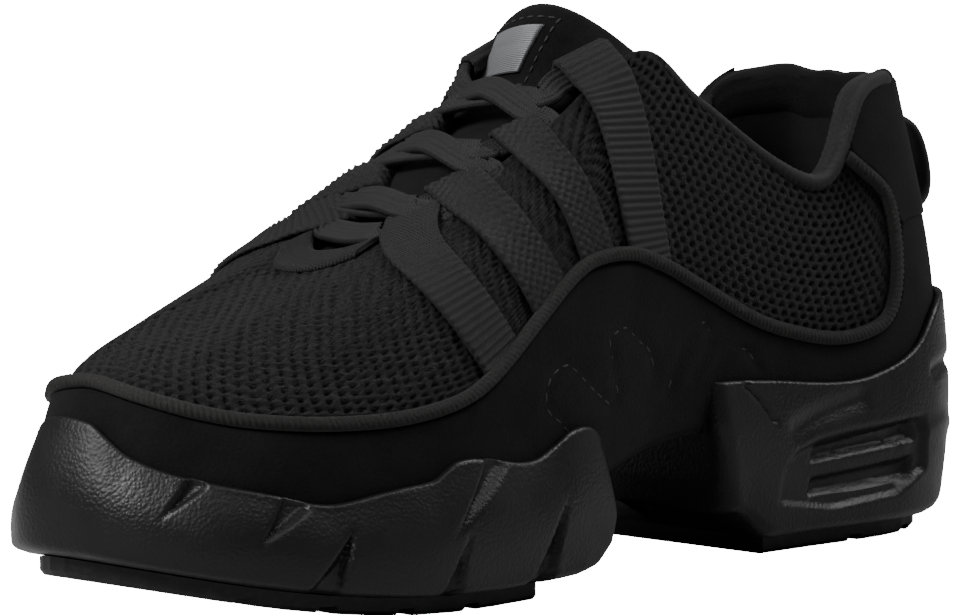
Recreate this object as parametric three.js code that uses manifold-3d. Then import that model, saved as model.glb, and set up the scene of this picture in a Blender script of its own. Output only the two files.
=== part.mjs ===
// A split-sole dance sneaker for the left foot, in millimetres.
// +X runs from heel to toe, +Y to the wearer's left, which is the outer side, and +Z up.

import * as THREE from "three";
import { mergeVertices } from "three/addons/utils/BufferGeometryUtils.js";
import Module from "manifold-3d";

const wasm = await Module();
wasm.setup();

// Main sizes of the shoe
const soleLength = 270;
const ballWidth = 98;
const heelStack = 34;
const ballStack = 20;
const toeSpring = 12;
const instepRise = 91;
const collarRise = 76;

// Thicknesses and clearances
const wall = 2.4;
const collarPad = 4;
const suede = 1.3;
const gap = 0.3;
const rimLip = 2;
const insoleThickness = 4;
const treadThickness = 4;
const webbing = 1.3;

// Widths of the narrow goods
const pipingWidth = 3.2;
const strapWidth = 17;
const bandWidth = 7;
const laceWidth = 7;
const laceThickness = 1.8;
const loopLength = 6;
const loopOpening = 3;
const loopInset = 1;
const pullLoopWidth = 14;
const pullLoopReach = 8;
const pullLoopThickness = 2;

// How finely the forms are divided
const around = 48;
const soleAround = 60;
const upperSteps = 8;
const rowCount = 18;

const mix = (a, b, t) => a + (b - a) * t;
const clamp = (t, low, high) => Math.min(high, Math.max(low, t));
const ease = (low, high, x) => {
  const t = clamp((x - low) / (high - low), 0, 1);
  return t * t * (3 - 2 * t);
};
const table = (columns, rows) =>
  rows.map((row) => Object.fromEntries(columns.map((name, i) => [name, row[i]])));

// Reads one column of a table at a place between its rows, along a smooth curve
function readTable(rows, key, value, at) {
  const last = rows.length - 1;
  let i = 0;
  while (i < last - 1 && rows[i + 1][key] < at) i += 1;
  const t = clamp((at - rows[i][key]) / (rows[i + 1][key] - rows[i][key]), 0, 1);
  const [p0, p1, p2, p3] = [i - 1, i, i + 1, i + 2].map((k) => rows[clamp(k, 0, last)][value]);
  return catmullRom(p0, p1, p2, p3, t);
}

function catmullRom(p0, p1, p2, p3, t) {
  const bend = 2 * p0 - 5 * p1 + 4 * p2 - p3;
  const twist = 3 * (p1 - p2) + p3 - p0;
  return p1 + 0.5 * t * (p2 - p0 + t * (bend + t * twist));
}

// The foot bed and the sole's underside, seen from the side
const archEnd = 0.39;
const ballStart = 0.68;
const springStart = 0.7;
function springAt(x) {
  const t = Math.max(0, x / soleLength - springStart) / (1 - springStart);
  return toeSpring * t * t;
}
function bedAt(x) {
  return mix(heelStack, ballStack, ease(archEnd, ballStart, x / soleLength)) + springAt(x);
}

// Rows of the upper from the middle of the heel round to the toe tip. foot and top are shares
// of the sole's length, the widths, swell, reach and ahead are shares of the ball's width, and
// height, rise and drop are shares of the collar's rise in the first four rows and the instep's
// after them. Swell and rise say how the wall leaves the sole, and reach, ahead and drop how it
// comes to its upper edge.
const collarRows = 4;
const sections = table(
  ["foot", "footOut", "footIn", "top", "topOut", "topIn",
    "height", "swell", "rise", "reach", "ahead", "drop"],
  [
    [0.022, 0, 0, 0.059, 0, 0, 0.95, 0.07, 0.3, 0.06, 0, 0.4],
    [0.044, 0.205, 0.195, 0.076, 0.16, 0.155, 1.03, 0.06, 0.28, 0.06, 0, 0.38],
    [0.119, 0.316, 0.306, 0.143, 0.235, 0.235, 0.95, 0.05, 0.26, 0.06, 0, 0.3],
    [0.278, 0.33, 0.3, 0.211, 0.27, 0.265, 0.69, 0.04, 0.24, 0.05, 0, 0.24],
    [0.444, 0.35, 0.26, 0.341, 0.245, 0.24, 0.79, 0.045, 0.24, 0.08, 0.02, 0.22],
    [0.611, 0.45, 0.37, 0.407, 0.205, 0.2, 0.925, 0.045, 0.24, 0.11, 0.16, 0.27],
    [0.759, 0.465, 0.47, 0.519, 0.195, 0.195, 0.8, 0.045, 0.24, 0.19, 0.28, 0.26],
    [0.881, 0.35, 0.35, 0.637, 0.165, 0.17, 0.69, 0.05, 0.26, 0.18, 0.3, 0.22],
    [0.937, 0.17, 0.19, 0.693, 0.09, 0.1, 0.615, 0.05, 0.29, 0.17, 0.4, 0.19],
    [0.957, -0.05, 0.05, 0.711, -0.02, 0.02, 0.59, 0.056, 0.3, 0.55, 0, 0.2],
  ],
);

// The rows in millimetres all the way round, outer side first and then back along the inner side
const fields = ["footX", "footY", "topX", "topY", "topZ", "swell", "rise", "reach", "ahead", "drop"];
const ring = [];
for (let k = 0; k < rowCount; k += 1) {
  const outer = k < sections.length;
  const index = outer ? k : rowCount - k;
  const row = sections[index];
  const tall = index < collarRows ? collarRise : instepRise;
  const topX = row.top * soleLength;
  ring.push({
    footX: row.foot * soleLength,
    footY: outer ? row.footOut * ballWidth : -row.footIn * ballWidth,
    topX,
    topY: outer ? row.topOut * ballWidth : -row.topIn * ballWidth,
    topZ: bedAt(topX) + row.height * tall,
    swell: row.swell * ballWidth,
    rise: row.rise * tall,
    reach: row.reach * ballWidth,
    ahead: row.ahead * ballWidth,
    drop: row.drop * tall,
  });
}

// The values of every row field at a station, 0 at the heel, 9 at the toe and 18 at the heel again
function rowAt(station) {
  const base = Math.floor(station);
  const t = station - base;
  const near = [-1, 0, 1, 2].map((k) => ring[(((base + k) % rowCount) + rowCount) % rowCount]);
  return Object.fromEntries(
    fields.map((name) => [name, catmullRom(...near.map((row) => row[name]), t)]),
  );
}

// The sideways direction out of the foot edge at a station
function outwardAt(station) {
  const step = 0.05;
  const before = rowAt(station - step);
  const after = rowAt(station + step);
  return new THREE.Vector3(before.footY - after.footY, after.footX - before.footX, 0).normalize();
}

// A point of the upper's outer face: v is 0 at the sole and 1 at the upper edge
function facePoint(station, v) {
  const row = rowAt(station);
  const outward = outwardAt(station);
  const start = new THREE.Vector3(row.footX, row.footY, bedAt(row.footX));
  const end = new THREE.Vector3(row.topX, row.topY, row.topZ);
  const low = start.clone().addScaledVector(outward, row.swell);
  low.z += row.rise;
  const high = end.clone().addScaledVector(outward, row.reach);
  high.x += row.ahead;
  high.z -= row.drop;
  const w = 1 - v;
  return start
    .multiplyScalar(w * w * w)
    .addScaledVector(low, 3 * w * w * v)
    .addScaledVector(high, 3 * w * v * v)
    .addScaledVector(end, v * v * v);
}

// The directions of the face at a place: along the stations, up the wall and out of the shoe
function faceFrame(station, v) {
  const step = 0.02;
  const across = facePoint(station + step, v).sub(facePoint(station - step, v));
  const up = facePoint(station, v + step).sub(facePoint(station, v - step));
  return {
    across: across.divideScalar(2 * step),
    up: up.divideScalar(2 * step),
    out: up.clone().cross(across).normalize(),
  };
}
function skin(station, v, lift = 0) {
  return facePoint(station, v).addScaledVector(faceFrame(station, v).out, lift);
}

// Where a station's wall passes a height, a place along the shoe, or a place on the foxing's line
function heightToV(station, z) {
  let [low, high] = [0, 1];
  for (let i = 0; i < 30; i += 1) {
    const middle = (low + high) / 2;
    if (facePoint(station, middle).z < z) low = middle;
    else high = middle;
  }
  return (low + high) / 2;
}
function stationWhere(test, low, high) {
  let [before, after] = [low, high];
  for (let i = 0; i < 30; i += 1) {
    const middle = (before + after) / 2;
    if (test(middle)) before = middle;
    else after = middle;
  }
  return (before + after) / 2;
}

// Moves along the face from a place by a distance in a direction, and gives the new place
function slide(station, v, direction, distance) {
  const { across, up } = faceFrame(station, v);
  const aa = across.dot(across);
  const au = across.dot(up);
  const uu = up.dot(up);
  const a = direction.dot(across) * distance;
  const u = direction.dot(up) * distance;
  const size = aa * uu - au * au;
  return [station + (a * uu - u * au) / size, v + (u * aa - a * au) / size];
}

// Closed solids from grids, rings and profiles

function geometryFrom(points, triangles) {
  let volume = 0;
  const cross = new THREE.Vector3();
  for (const [a, b, c] of triangles) {
    volume += points[a].dot(cross.crossVectors(points[b], points[c]));
  }
  const order = volume > 0 ? triangles : triangles.map(([a, b, c]) => [a, c, b]);
  const geometry = new THREE.BufferGeometry().setFromPoints(points);
  geometry.setIndex(order.flat());
  return geometry;
}

// A sheet with thickness from two grids of points, closed round the stations or with two ends
function sheetSolid(outer, inner, closed) {
  const columns = outer.length;
  const rows = outer[0].length;
  const at = (layer, i, j) => layer * columns * rows + (i % columns) * rows + j;
  const triangles = [];
  const quad = (a, b, c, d) => triangles.push([a, b, c], [a, c, d]);
  const spans = closed ? columns : columns - 1;
  for (let i = 0; i < spans; i += 1) {
    for (let j = 0; j < rows - 1; j += 1) {
      quad(at(0, i, j), at(0, i, j + 1), at(0, i + 1, j + 1), at(0, i + 1, j));
      quad(at(1, i, j), at(1, i + 1, j), at(1, i + 1, j + 1), at(1, i, j + 1));
    }
    const top = rows - 1;
    quad(at(0, i, 0), at(0, i + 1, 0), at(1, i + 1, 0), at(1, i, 0));
    quad(at(0, i, top), at(1, i, top), at(1, i + 1, top), at(0, i + 1, top));
  }
  if (!closed) {
    const end = columns - 1;
    for (let j = 0; j < rows - 1; j += 1) {
      quad(at(0, 0, j), at(1, 0, j), at(1, 0, j + 1), at(0, 0, j + 1));
      quad(at(0, end, j), at(0, end, j + 1), at(1, end, j + 1), at(1, end, j));
    }
  }
  return geometryFrom([...outer.flat(), ...inner.flat()], triangles);
}

// A body from rings of stations, its two ends closed by rungs from the outer to the inner side
function ringBody(rings) {
  const count = rings[0].length;
  const triangles = [];
  for (let r = 0; r < rings.length - 1; r += 1) {
    for (let i = 0; i < count; i += 1) {
      const a = r * count + i;
      const b = r * count + ((i + 1) % count);
      triangles.push([a, b, b + count], [a, b + count, a + count]);
    }
  }
  const half = count / 2;
  const cap = (base, flip) => {
    const add = (a, b, c) => triangles.push(flip ? [base + a, base + c, base + b]
      : [base + a, base + b, base + c]);
    add(0, count - 1, 1);
    for (let i = 1; i < half - 1; i += 1) {
      add(i, count - i, count - i - 1);
      add(i, count - i - 1, i + 1);
    }
    add(half - 1, half + 1, half);
  };
  cap(0, false);
  cap((rings.length - 1) * count, true);
  return geometryFrom(rings.flat(), triangles);
}

function toSolid(geometry) {
  const plain = geometry.clone();
  plain.deleteAttribute("normal");
  plain.deleteAttribute("uv");
  const merged = mergeVertices(plain, 1e-4);
  return new wasm.Manifold(
    new wasm.Mesh({
      numProp: 3,
      vertProperties: new Float32Array(merged.attributes.position.array),
      triVerts: new Uint32Array(merged.index.array),
    }),
  );
}
const shortestEdge = 0.004;
function fromSolid(solid) {
  const mesh = solid.asOriginal().simplify(shortestEdge).getMesh();
  const geometry = new THREE.BufferGeometry();
  geometry.setAttribute("position", new THREE.BufferAttribute(new Float32Array(mesh.vertProperties), 3));
  geometry.setIndex(Array.from(mesh.triVerts));
  return geometry;
}

const largestOf = (solid) =>
  solid.decompose().reduce((best, body) => (body.volume() > best.volume() ? body : best));

// A plate drawn in the side view and pulled across the shoe
function sidePlate(corners, width) {
  const shape = new THREE.Shape(corners.map(([x, z]) => new THREE.Vector2(x, z)));
  const plate = new THREE.ExtrudeGeometry(shape, { depth: width, bevelEnabled: false });
  plate.rotateX(Math.PI / 2);
  plate.translate(0, width / 2, 0);
  return plate;
}

const stations = Array.from({ length: around }, (_, k) => (k * rowCount) / around);

// Materials
const finish = (color, roughness) => new THREE.MeshStandardMaterial({ color, roughness, metalness: 0 });
const meshFabric = finish(0x232427, 0.9);
const suedeLeather = finish(0x1c1c1e, 0.95);
const mouldedRubber = finish(0x1b1c1e, 0.5);
const treadRubber = finish(0x161617, 0.7);
const webbingWeave = finish(0x252629, 0.85);
const stretchKnit = finish(0x202124, 0.8);
const liningFoam = finish(0x1d1e20, 0.9);
const labelCloth = finish(0x9a9b9c, 0.6);

const shoe = new THREE.Group();
function addPiece(name, geometry, material) {
  const piece = new THREE.Mesh(geometry, material);
  piece.name = name;
  shoe.add(piece);
  return piece;
}

// The upper's wall, thicker at the padded collar and thin at its edge
function wallAt(station, v) {
  const side = Math.min(station, rowCount - station);
  const padded = collarPad * (1 - ease(4.2, 5.2, side));
  const high = clamp((v - 0.55) / 0.45, 0, 1);
  return wall + padded * Math.sin(Math.PI * high ** 0.8) ** 0.7;
}

// Upper: an open shell, with a floor only under the arch
const floorStart = 0.3;
const floorEnd = 0.52;
const floorBlend = 0.03;
function archWrap(x) {
  const along = x / soleLength;
  const rear = ease(floorStart - 2 * floorBlend, floorStart - floorBlend, along);
  const front = ease(floorEnd + floorBlend, floorEnd + 2 * floorBlend, along);
  return (wall + gap) * (rear - front);
}
// The lower edge of what wraps the foot, dipped under the arch to meet the floor there
function footEdge(station, offset, drop = 0) {
  const row = rowAt(station);
  const point = new THREE.Vector3(row.footX, row.footY, bedAt(row.footX) - archWrap(row.footX) - drop);
  return point.addScaledVector(outwardAt(station), offset);
}
const levels = Array.from({ length: upperSteps + 1 }, (_, j) => j / upperSteps);
const faceColumn = (s, lift, count = levels.length) => [
  footEdge(s, lift),
  ...levels.slice(1, count).map((v) => skin(s, v, lift)),
];
function buildUpper() {
  const inner = stations.map((s) => [
    footEdge(s, -wall),
    ...levels.slice(1).map((v) => skin(s, v, -wallAt(s, v))),
  ]);
  const shell = toSolid(sheetSolid(stations.map((s) => faceColumn(s, 0)), inner, true));
  const [rear, front] = [floorStart, floorEnd].map((share) => share * soleLength);
  const rungs = 4;
  const rows = Array.from({ length: rungs + 1 }, (_, i) => mix(rear, front, i / rungs));
  const edge = (x, inside) => {
    const [low, high] = inside ? [9, rowCount] : [0, 9];
    const s = stationWhere((t) => (inside ? rowAt(t).footX > x : rowAt(t).footX < x), low, high);
    return footEdge(s, -wall / 2);
  };
  const layer = (height) =>
    rows.map((x) => [edge(x, false), edge(x, true)].map((p) => p.setZ(bedAt(x) - height)));
  const floor = toSolid(sheetSolid(layer(0), layer(wall), false));
  return fromSolid(shell.add(floor));
}
addPiece("upper", buildUpper(), meshFabric);

// The foxing's upper line, as a share of the instep's rise above the bed
const foxingLine = table(
  ["station", "height"],
  [
    [0, 0.47], [1.7, 0.47], [1.85, 0.44], [2, 0.28], [2.2, 0.19], [2.45, 0.16], [2.7, 0.155],
    [3.25, 0.2], [3.6, 0.26], [4, 0.35], [4.4, 0.45], [4.7, 0.52], [5, 0.55], [5.2, 0.54],
    [5.45, 0.45], [5.6, 0.37], [5.75, 0.3], [5.95, 0.26], [6.3, 0.225], [6.8, 0.2], [7.3, 0.19],
    [7.7, 0.195], [8.1, 0.205], [8.5, 0.215], [9, 0.228],
  ],
);
// The lower line of the smooth overlay behind the collar
const tabLine = table(
  ["station", "height"],
  [[0, 0.52], [1, 0.52], [1.6, 0.52], [1.9, 0.53], [2.1, 0.575], [2.5, 0.64]],
);
const tabEnd = 2.45;
function lineV(rows, station) {
  const side = Math.min(station, rowCount - station);
  const point = rowAt(station);
  const z = bedAt(point.footX) + readTable(rows, "station", "height", side) * instepRise;
  return heightToV(station, z);
}

// Shells that hug the upper's face, which the overlays are cut from
const cladding = gap + suede + gap;
const hug = (low, high) =>
  toSolid(sheetSolid(
    stations.map((s) => faceColumn(s, high)),
    stations.map((s) => faceColumn(s, low)),
    true,
  ));
const suedeShell = hug(gap, gap + suede);
const webbingShell = hug(gap, gap + webbing);
// A cutting block over a patch of the face, given as columns of places on it
const blockDepth = 4;
const patchBlock = (columns, closed) =>
  toSolid(sheetSolid(
    columns.map((column) => column.map(([s, v]) => skin(s, v, blockDepth))),
    columns.map((column) => column.map(([s, v]) => skin(s, v, -blockDepth / 2))),
    closed,
  ));

// Suede foxing over the upper's lower wall
function buildFoxing() {
  const fine = 2;
  const side = foxingLine.map((row) => row.station);
  const back = side.slice(1, -1).reverse().map((s) => rowCount - s);
  const columns = [...side, ...back].map((s) => {
    const top = lineV(foxingLine, s);
    return Array.from({ length: fine + 1 }, (_, j) => [s, mix(-0.12, top, j / fine)]);
  });
  return fromSolid(largestOf(suedeShell.intersect(patchBlock(columns, true))));
}
addPiece("foxing", buildFoxing(), suedeLeather);

// Smooth stretch overlay round the back of the collar
function buildHeelTab() {
  const half = 6;
  const columns = Array.from({ length: 2 * half + 1 }, (_, k) => {
    const station = ((k / half - 1) * tabEnd + rowCount) % rowCount;
    const bottom = lineV(tabLine, station);
    return [0, 0.33, 0.67, 1].map((t) => [station, mix(bottom, 1.04, t)]);
  });
  return fromSolid(suedeShell.intersect(patchBlock(columns, false)));
}
addPiece("heel_tab", buildHeelTab(), stretchKnit);

// Ribbed piping along the foxing's line, up behind the heel and forward to the collar
function pipingRoute() {
  const radius = pipingWidth / 2;
  const turn = 1.9;
  const side = [];
  for (let s = tabEnd; s > turn; s -= 0.14) side.push([s, lineV(tabLine, s)]);
  const low = lineV(foxingLine, 2.02);
  const high = lineV(tabLine, turn);
  for (let k = 1; k < 5; k += 1) side.push([turn + 0.02 * k - 0.02, mix(high, low, k / 5)]);
  for (let s = 2.06; s < 9; s += 0.26) side.push([s, lineV(foxingLine, s)]);
  const places = [...side, [9, lineV(foxingLine, 9)]];
  for (const [s, v] of [...side].reverse()) places.push([rowCount - s, v]);
  return places.map(([s, v], i) => {
    const before = skin(...places[Math.max(0, i - 1)]);
    const after = skin(...places[Math.min(places.length - 1, i + 1)]);
    const { out } = faceFrame(s, v);
    const aside = after.sub(before).cross(out).normalize();
    return skin(s, v, radius + 1.5 * gap).addScaledVector(aside, radius + 3 * gap);
  });
}
function tube(points, radius, sides, steps) {
  const shape = new THREE.Shape(
    Array.from({ length: sides }, (_, k) => {
      const angle = (2 * Math.PI * k) / sides;
      return new THREE.Vector2(radius * Math.cos(angle), radius * Math.sin(angle));
    }),
  );
  const route = new THREE.CatmullRomCurve3(points, false, "centripetal");
  return new THREE.ExtrudeGeometry(shape, { steps, bevelEnabled: false, extrudePath: route });
}
const pipingSteps = 50;
const pipingSides = 5;
addPiece("piping", tube(pipingRoute(), pipingWidth / 2, pipingSides, pipingSteps), webbingWeave);

// The rim of the two soles, as a height above the bed and a share of the instep's rise
const rimLine = table(
  ["station", "height"],
  [
    [0, 0.24], [1.2, 0.24], [1.6, 0.2], [1.95, 0.118], [2.3, 0.068], [2.6, 0.052], [3.3, 0.08],
    [3.65, 0.086], [3.8, 0.076], [4.4, 0.06], [4.62, 0.08], [4.8, 0.138], [4.97, 0.155],
    [5.1, 0.137], [5.27, 0.117], [5.7, 0.14], [5.88, 0.137], [6, 0.097], [6.25, 0.075],
    [6.64, 0.036], [7.04, 0.046], [7.6, 0.056], [8, 0.07], [8.3, 0.093], [8.55, 0.128],
    [8.7, 0.147], [9, 0.154],
  ],
);
// How far the sole's wall stands out at its foot, as a share of the ball's width
const flareLine = table(
  ["station", "flare"],
  [[0, 0.05], [2, 0.045], [3, 0.04], [4, 0.05], [5, 0.06], [6, 0.06], [7, 0.075], [8, 0.095], [9, 0.1]],
);
const soleEdgeRound = 4;
function sideValue(rows, value, station) {
  return readTable(rows, "station", value, Math.min(station, rowCount - station));
}
function rimPoint(station, lift, share = 1) {
  const row = rowAt(station);
  const z = bedAt(row.footX) + sideValue(rimLine, "height", station) * instepRise;
  return skin(station, heightToV(station, z) * share, lift);
}
// A point of the sole's side, from 0 at the foot of its wall to 1 at its rim
function solePoint(station, height, inset = 0) {
  const row = rowAt(station);
  const flare = sideValue(flareLine, "flare", station) * ballWidth;
  const outward = outwardAt(station);
  const low = new THREE.Vector3(row.footX, row.footY, 0).addScaledVector(outward, flare - inset);
  low.z = springAt(low.x) + treadThickness + gap;
  const high = rimPoint(station, cladding + rimLip).addScaledVector(outward, -inset);
  const belly = 0.02 * ballWidth * Math.sin(Math.PI * height);
  return low.lerp(high, height).addScaledVector(outward, belly);
}
const soleStations = Array.from({ length: soleAround }, (_, k) => (k * rowCount) / soleAround);
function soleBlank() {
  const rings = [
    soleStations.map((s) => solePoint(s, 0, soleEdgeRound)),
    soleStations.map((s) => solePoint(s, 0.04, 1)),
    soleStations.map((s) => solePoint(s, 0.2)),
    soleStations.map((s) => solePoint(s, 0.93)),
    soleStations.map((s) => rimPoint(s, cladding + rimLip * 0.4)),
    soleStations.map((s) => rimPoint(s, -wall)),
  ];
  return toSolid(ringBody(rings)).subtract(lastBody());
}
// The clad foot of the upper, as the soles take it in
function lastBody() {
  const height = 5;
  const columns = stations.map((s) => faceColumn(s, cladding, height));
  const rings = Array.from({ length: height }, (_, j) => columns.map((column) => column[j]));
  rings[0] = stations.map((s) => footEdge(s, cladding, gap));
  return toSolid(ringBody(rings));
}

// The two lengths of sole, drawn from the side as shares of the sole's length and heel's stack
const tall = 3;
const heelLength = [
  [-0.2, -1], [0.34, -1], [0.345, 0.08], [0.355, 0.16], [0.365, 0.4], [0.378, 0.9], [0.378, tall],
  [-0.2, tall],
];
const forefootLength = [
  [1.2, -1], [0.65, -1], [0.65, 0.08], [0.58, 0.13], [0.548, 0.2], [0.53, 0.32], [0.524, 0.5],
  [0.535, 0.85], [0.548, 1.2], [0.548, tall], [1.2, tall],
];
const inSoleUnits = (corners) => corners.map(([x, z]) => [x * soleLength, z * heelStack]);

// A recess in the sole's side between two stations, its lower and upper edges given along it
function sideRecess({ from, to, lower, upper, depth }, inner) {
  const steps = 4;
  const columns = Array.from({ length: steps + 1 }, (_, i) => {
    const t = i / steps;
    const station = inner ? rowCount - mix(from, to, t) : mix(from, to, t);
    return [0, 0.5, 1].map((h) => [station, mix(lower(t), upper(t), h)]);
  });
  const proud = 6;
  return toSolid(
    sheetSolid(
      columns.map((column) => column.map(([s, h]) => solePoint(s, h, -proud))),
      columns.map((column) => column.map(([s, h]) => solePoint(s, h, depth))),
      false,
    ),
  );
}
const narrow = 0.02;
const wedgeUp = (from, to, apex) => ({
  from,
  to,
  depth: 2.2,
  lower: (t) => mix(0.98, apex, 1 - Math.abs(2 * t - 1)),
  upper: () => 1.15,
});
const wedgeDown = (from, to, apex) => ({
  from,
  to,
  depth: 2.4,
  lower: () => -0.2,
  upper: (t) => mix(0.04, apex, 1 - Math.abs(2 * t - 1)),
});
const slot = (from, to, low, high, depth) => ({
  from,
  to,
  depth,
  lower: (t) => mix(low, (low + high) / 2 - narrow, (2 * t - 1) ** 8),
  upper: (t) => mix(high, (low + high) / 2 + narrow, (2 * t - 1) ** 8),
});
const forefootRecesses = [
  wedgeUp(7.58, 7.92, 0.62), wedgeUp(6.75, 7.2, 0.55), wedgeUp(5.35, 5.72, 0.45),
  wedgeDown(6.5, 7, 0.62), wedgeDown(5.68, 5.95, 0.45), wedgeDown(4.95, 5.28, 0.62),
];
const heelRecesses = [
  slot(1.95, 3.1, 0.16, 0.66, 1),
  slot(2, 2.75, 0.42, 0.58, 3),
  slot(1.95, 2.78, 0.2, 0.34, 3),
];

function cutSole(blank, corners, recesses) {
  const block = toSolid(sidePlate(inSoleUnits(corners), 2 * ballWidth));
  let sole = blank.intersect(block);
  for (const recess of recesses) {
    for (const inner of [false, true]) sole = sole.subtract(sideRecess(recess, inner));
  }
  return fromSolid(sole);
}
const blank = soleBlank();
addPiece("forefoot_sole", cutSole(blank, forefootLength, forefootRecesses), mouldedRubber);
addPiece("heel_sole", cutSole(blank, heelLength, heelRecesses), mouldedRubber);

// Wearing plates under the soles, with grooves across them
const treadInset = 3;
const grooveWidth = 4;
const grooveDepth = 1.6;
function treadBlank() {
  const plate = (z, inset) =>
    soleStations.map((s) => {
      const point = solePoint(s, 0, soleEdgeRound + inset);
      return point.setZ(springAt(point.x) + z);
    });
  return ringBody([plate(0, treadInset), plate(1, treadInset - 1), plate(treadThickness, treadInset - 1)]);
}
function cutTread(blankPlate, from, to, grooves) {
  const between = (low, high, bottom, top) => toSolid(
    sidePlate([[low, bottom], [high, bottom], [high, top], [low, top]], 2 * ballWidth),
  );
  let plate = blankPlate.intersect(between(from * soleLength, to * soleLength, -1, 3 * toeSpring));
  for (const share of grooves) {
    const middle = share * soleLength;
    const top = springAt(middle) + grooveDepth;
    plate = plate.subtract(between(middle - grooveWidth / 2, middle + grooveWidth / 2, -1, top));
  }
  return fromSolid(plate);
}
const treadPlate = toSolid(treadBlank());
addPiece("forefoot_tread", cutTread(treadPlate, 0.62, 0.99, [0.7, 0.77, 0.84, 0.9]), treadRubber);
addPiece("heel_tread", cutTread(treadPlate, 0, 0.29, [0.09, 0.17]), treadRubber);

// Insole on the bed, inside the upper's wall
function buildInsole() {
  const plate = (z) =>
    stations.map((s) => {
      const point = footEdge(s, -wall - 2 * gap);
      return point.setZ(bedAt(rowAt(s).footX) + z);
    });
  return ringBody([plate(2 * gap), plate(2 * gap + insoleThickness)]);
}
addPiece("insole", buildInsole(), liningFoam);

// Tongue rows: the station of the throat's edge that each hangs from and how far up the wall it
// starts, how far its crown stands ahead of and above those edges, and its thickness
const tongueRows = table(
  ["station", "edge", "ahead", "rise", "thick"],
  [
    [4.75, 1, 0.13, 0.145, 0.05],
    [4.95, 1, 0.115, 0.1, 0.065],
    [5.2, 1, 0.08, 0.06, 0.06],
    [5.6, 1, 0.005, 0.035, 0.05],
    [6, 1, 0, 0.04, 0.045],
    [6.5, 1, 0, 0.03, 0.04],
    [7.1, 1, 0, 0, 0.035],
    [7.7, 1, 0, -0.01, 0.035],
    [8.2, 0.96, 0, -0.005, 0.03],
    [8.5, 0.9, 0, 0, 0.03],
  ],
);
const tongueDeep = loopOpening + webbing + 2 * gap;
const wingStart = 0.7;
const wingDepth = 0.12;

// A point of the tongue's face: turn is 1 at the outer wing, 0 at the crown and -1 at the inner
function tongueFace(station, turn) {
  const value = (name) => readTable(tongueRows, "station", name, station);
  const edge = value("edge");
  const under = (side, v) => {
    const s = side < 0 ? rowCount - station : station;
    return skin(s, v, -Math.max(tongueDeep, wallAt(s, v) + 3 * gap));
  };
  const size = Math.abs(turn);
  if (size > wingStart) return under(turn, edge - (wingDepth * (size - wingStart)) / (1 - wingStart));
  const across = turn / wingStart;
  const bulge = (1 - across * across) * ballWidth;
  const point = under(-1, edge).lerp(under(1, edge), (across + 1) / 2);
  point.x += value("ahead") * bulge;
  point.z += value("rise") * bulge;
  return point;
}
function tongueOut(station, turn) {
  const step = 0.03;
  const along = tongueFace(station - step, turn).sub(tongueFace(station + step, turn));
  const across = tongueFace(station, Math.min(1, turn + step))
    .sub(tongueFace(station, Math.max(-1, turn - step)));
  return across.cross(along).normalize();
}
const tonguePoint = (station, turn, lift) =>
  tongueFace(station, turn).addScaledVector(tongueOut(station, turn), lift);
const tongueTurns = [-1, -0.7, -0.5, -0.25, 0, 0.25, 0.5, 0.7, 1];
function buildTongue() {
  const layer = (share) =>
    tongueRows.map(({ station, thick }) =>
      tongueTurns.map((t) => tonguePoint(station, t, -share * (1 - 0.6 * t * t) * thick * ballWidth)));
  return sheetSolid(layer(0), layer(1), false);
}
addPiece("tongue", buildTongue(), liningFoam);

// Bare patch sewn on the tongue's face
const labelThickness = 0.8;
function buildLabel() {
  const rows = tongueRows.slice(1, 4);
  const layer = (lift) => rows.map(({ station }) => [-0.5, -0.25, 0].map((t) => tonguePoint(station, t, lift)));
  return sheetSolid(layer(gap + labelThickness), layer(gap), false);
}
addPiece("tongue_label", buildLabel(), labelCloth);

// Knitted binding round the front of the throat
const bandEnd = 8;
function buildThroatBand() {
  const columns = [];
  for (let s = bandEnd; s <= rowCount - bandEnd + 1e-6; s += 0.25) {
    const low = 1 - bandWidth / faceFrame(s, 1).up.length();
    columns.push([[s, low], [s, (low + 1) / 2], [s, 1.04]]);
  }
  return fromSolid(webbingShell.intersect(patchBlock(columns, false)));
}
addPiece("throat_band", buildThroatBand(), stretchKnit);

// Straps: where each starts above the foxing and where its loop leaves the throat's edge,
// as shares of the sole's length, and its width as a share of the widest
const straps = table(
  ["footAlong", "throatAlong", "width"],
  [[0.655, 0.655, 0.8], [0.587, 0.604, 0.8], [0.52, 0.534, 0.68], [0.452, 0.452, 0.85]],
);
const strapSteps = 4;
const pipingRoom = toSolid(tube(pipingRoute(), pipingWidth / 2 + gap, pipingSides, pipingSteps));
function strapPath(strap, inner) {
  const lineX = (s) => skin(s, lineV(foxingLine, s)).x;
  const low = stationWhere((s) => lineX(s) < strap.footAlong * soleLength, 3, 8);
  const high = stationWhere((s) => rowAt(s).topX < strap.throatAlong * soleLength, 5, 8.5);
  const startV = lineV(foxingLine, low);
  return Array.from({ length: strapSteps + 1 }, (_, k) => {
    const station = mix(low, high, k / strapSteps);
    return [inner ? rowCount - station : station, mix(startV, 1, k / strapSteps)];
  });
}
function strapTangent(path, k) {
  const before = skin(...path[Math.max(0, k - 1)]);
  return skin(...path[Math.min(strapSteps, k + 1)]).sub(before).normalize();
}
// The place on the face just clear of the piping, further up where the foxing's line is steep
function aboveFoxing(station) {
  const step = 0.1;
  const onLine = (s) => skin(s, lineV(foxingLine, s));
  const along = onLine(station + step).sub(onLine(station - step)).normalize();
  const v = lineV(foxingLine, station);
  const { up } = faceFrame(station, v);
  const steep = along.dot(up) / up.length();
  const level = Math.max(0.45, Math.sqrt(1 - steep * steep));
  return v + (pipingWidth + 5 * gap) / (level * up.length());
}
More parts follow.
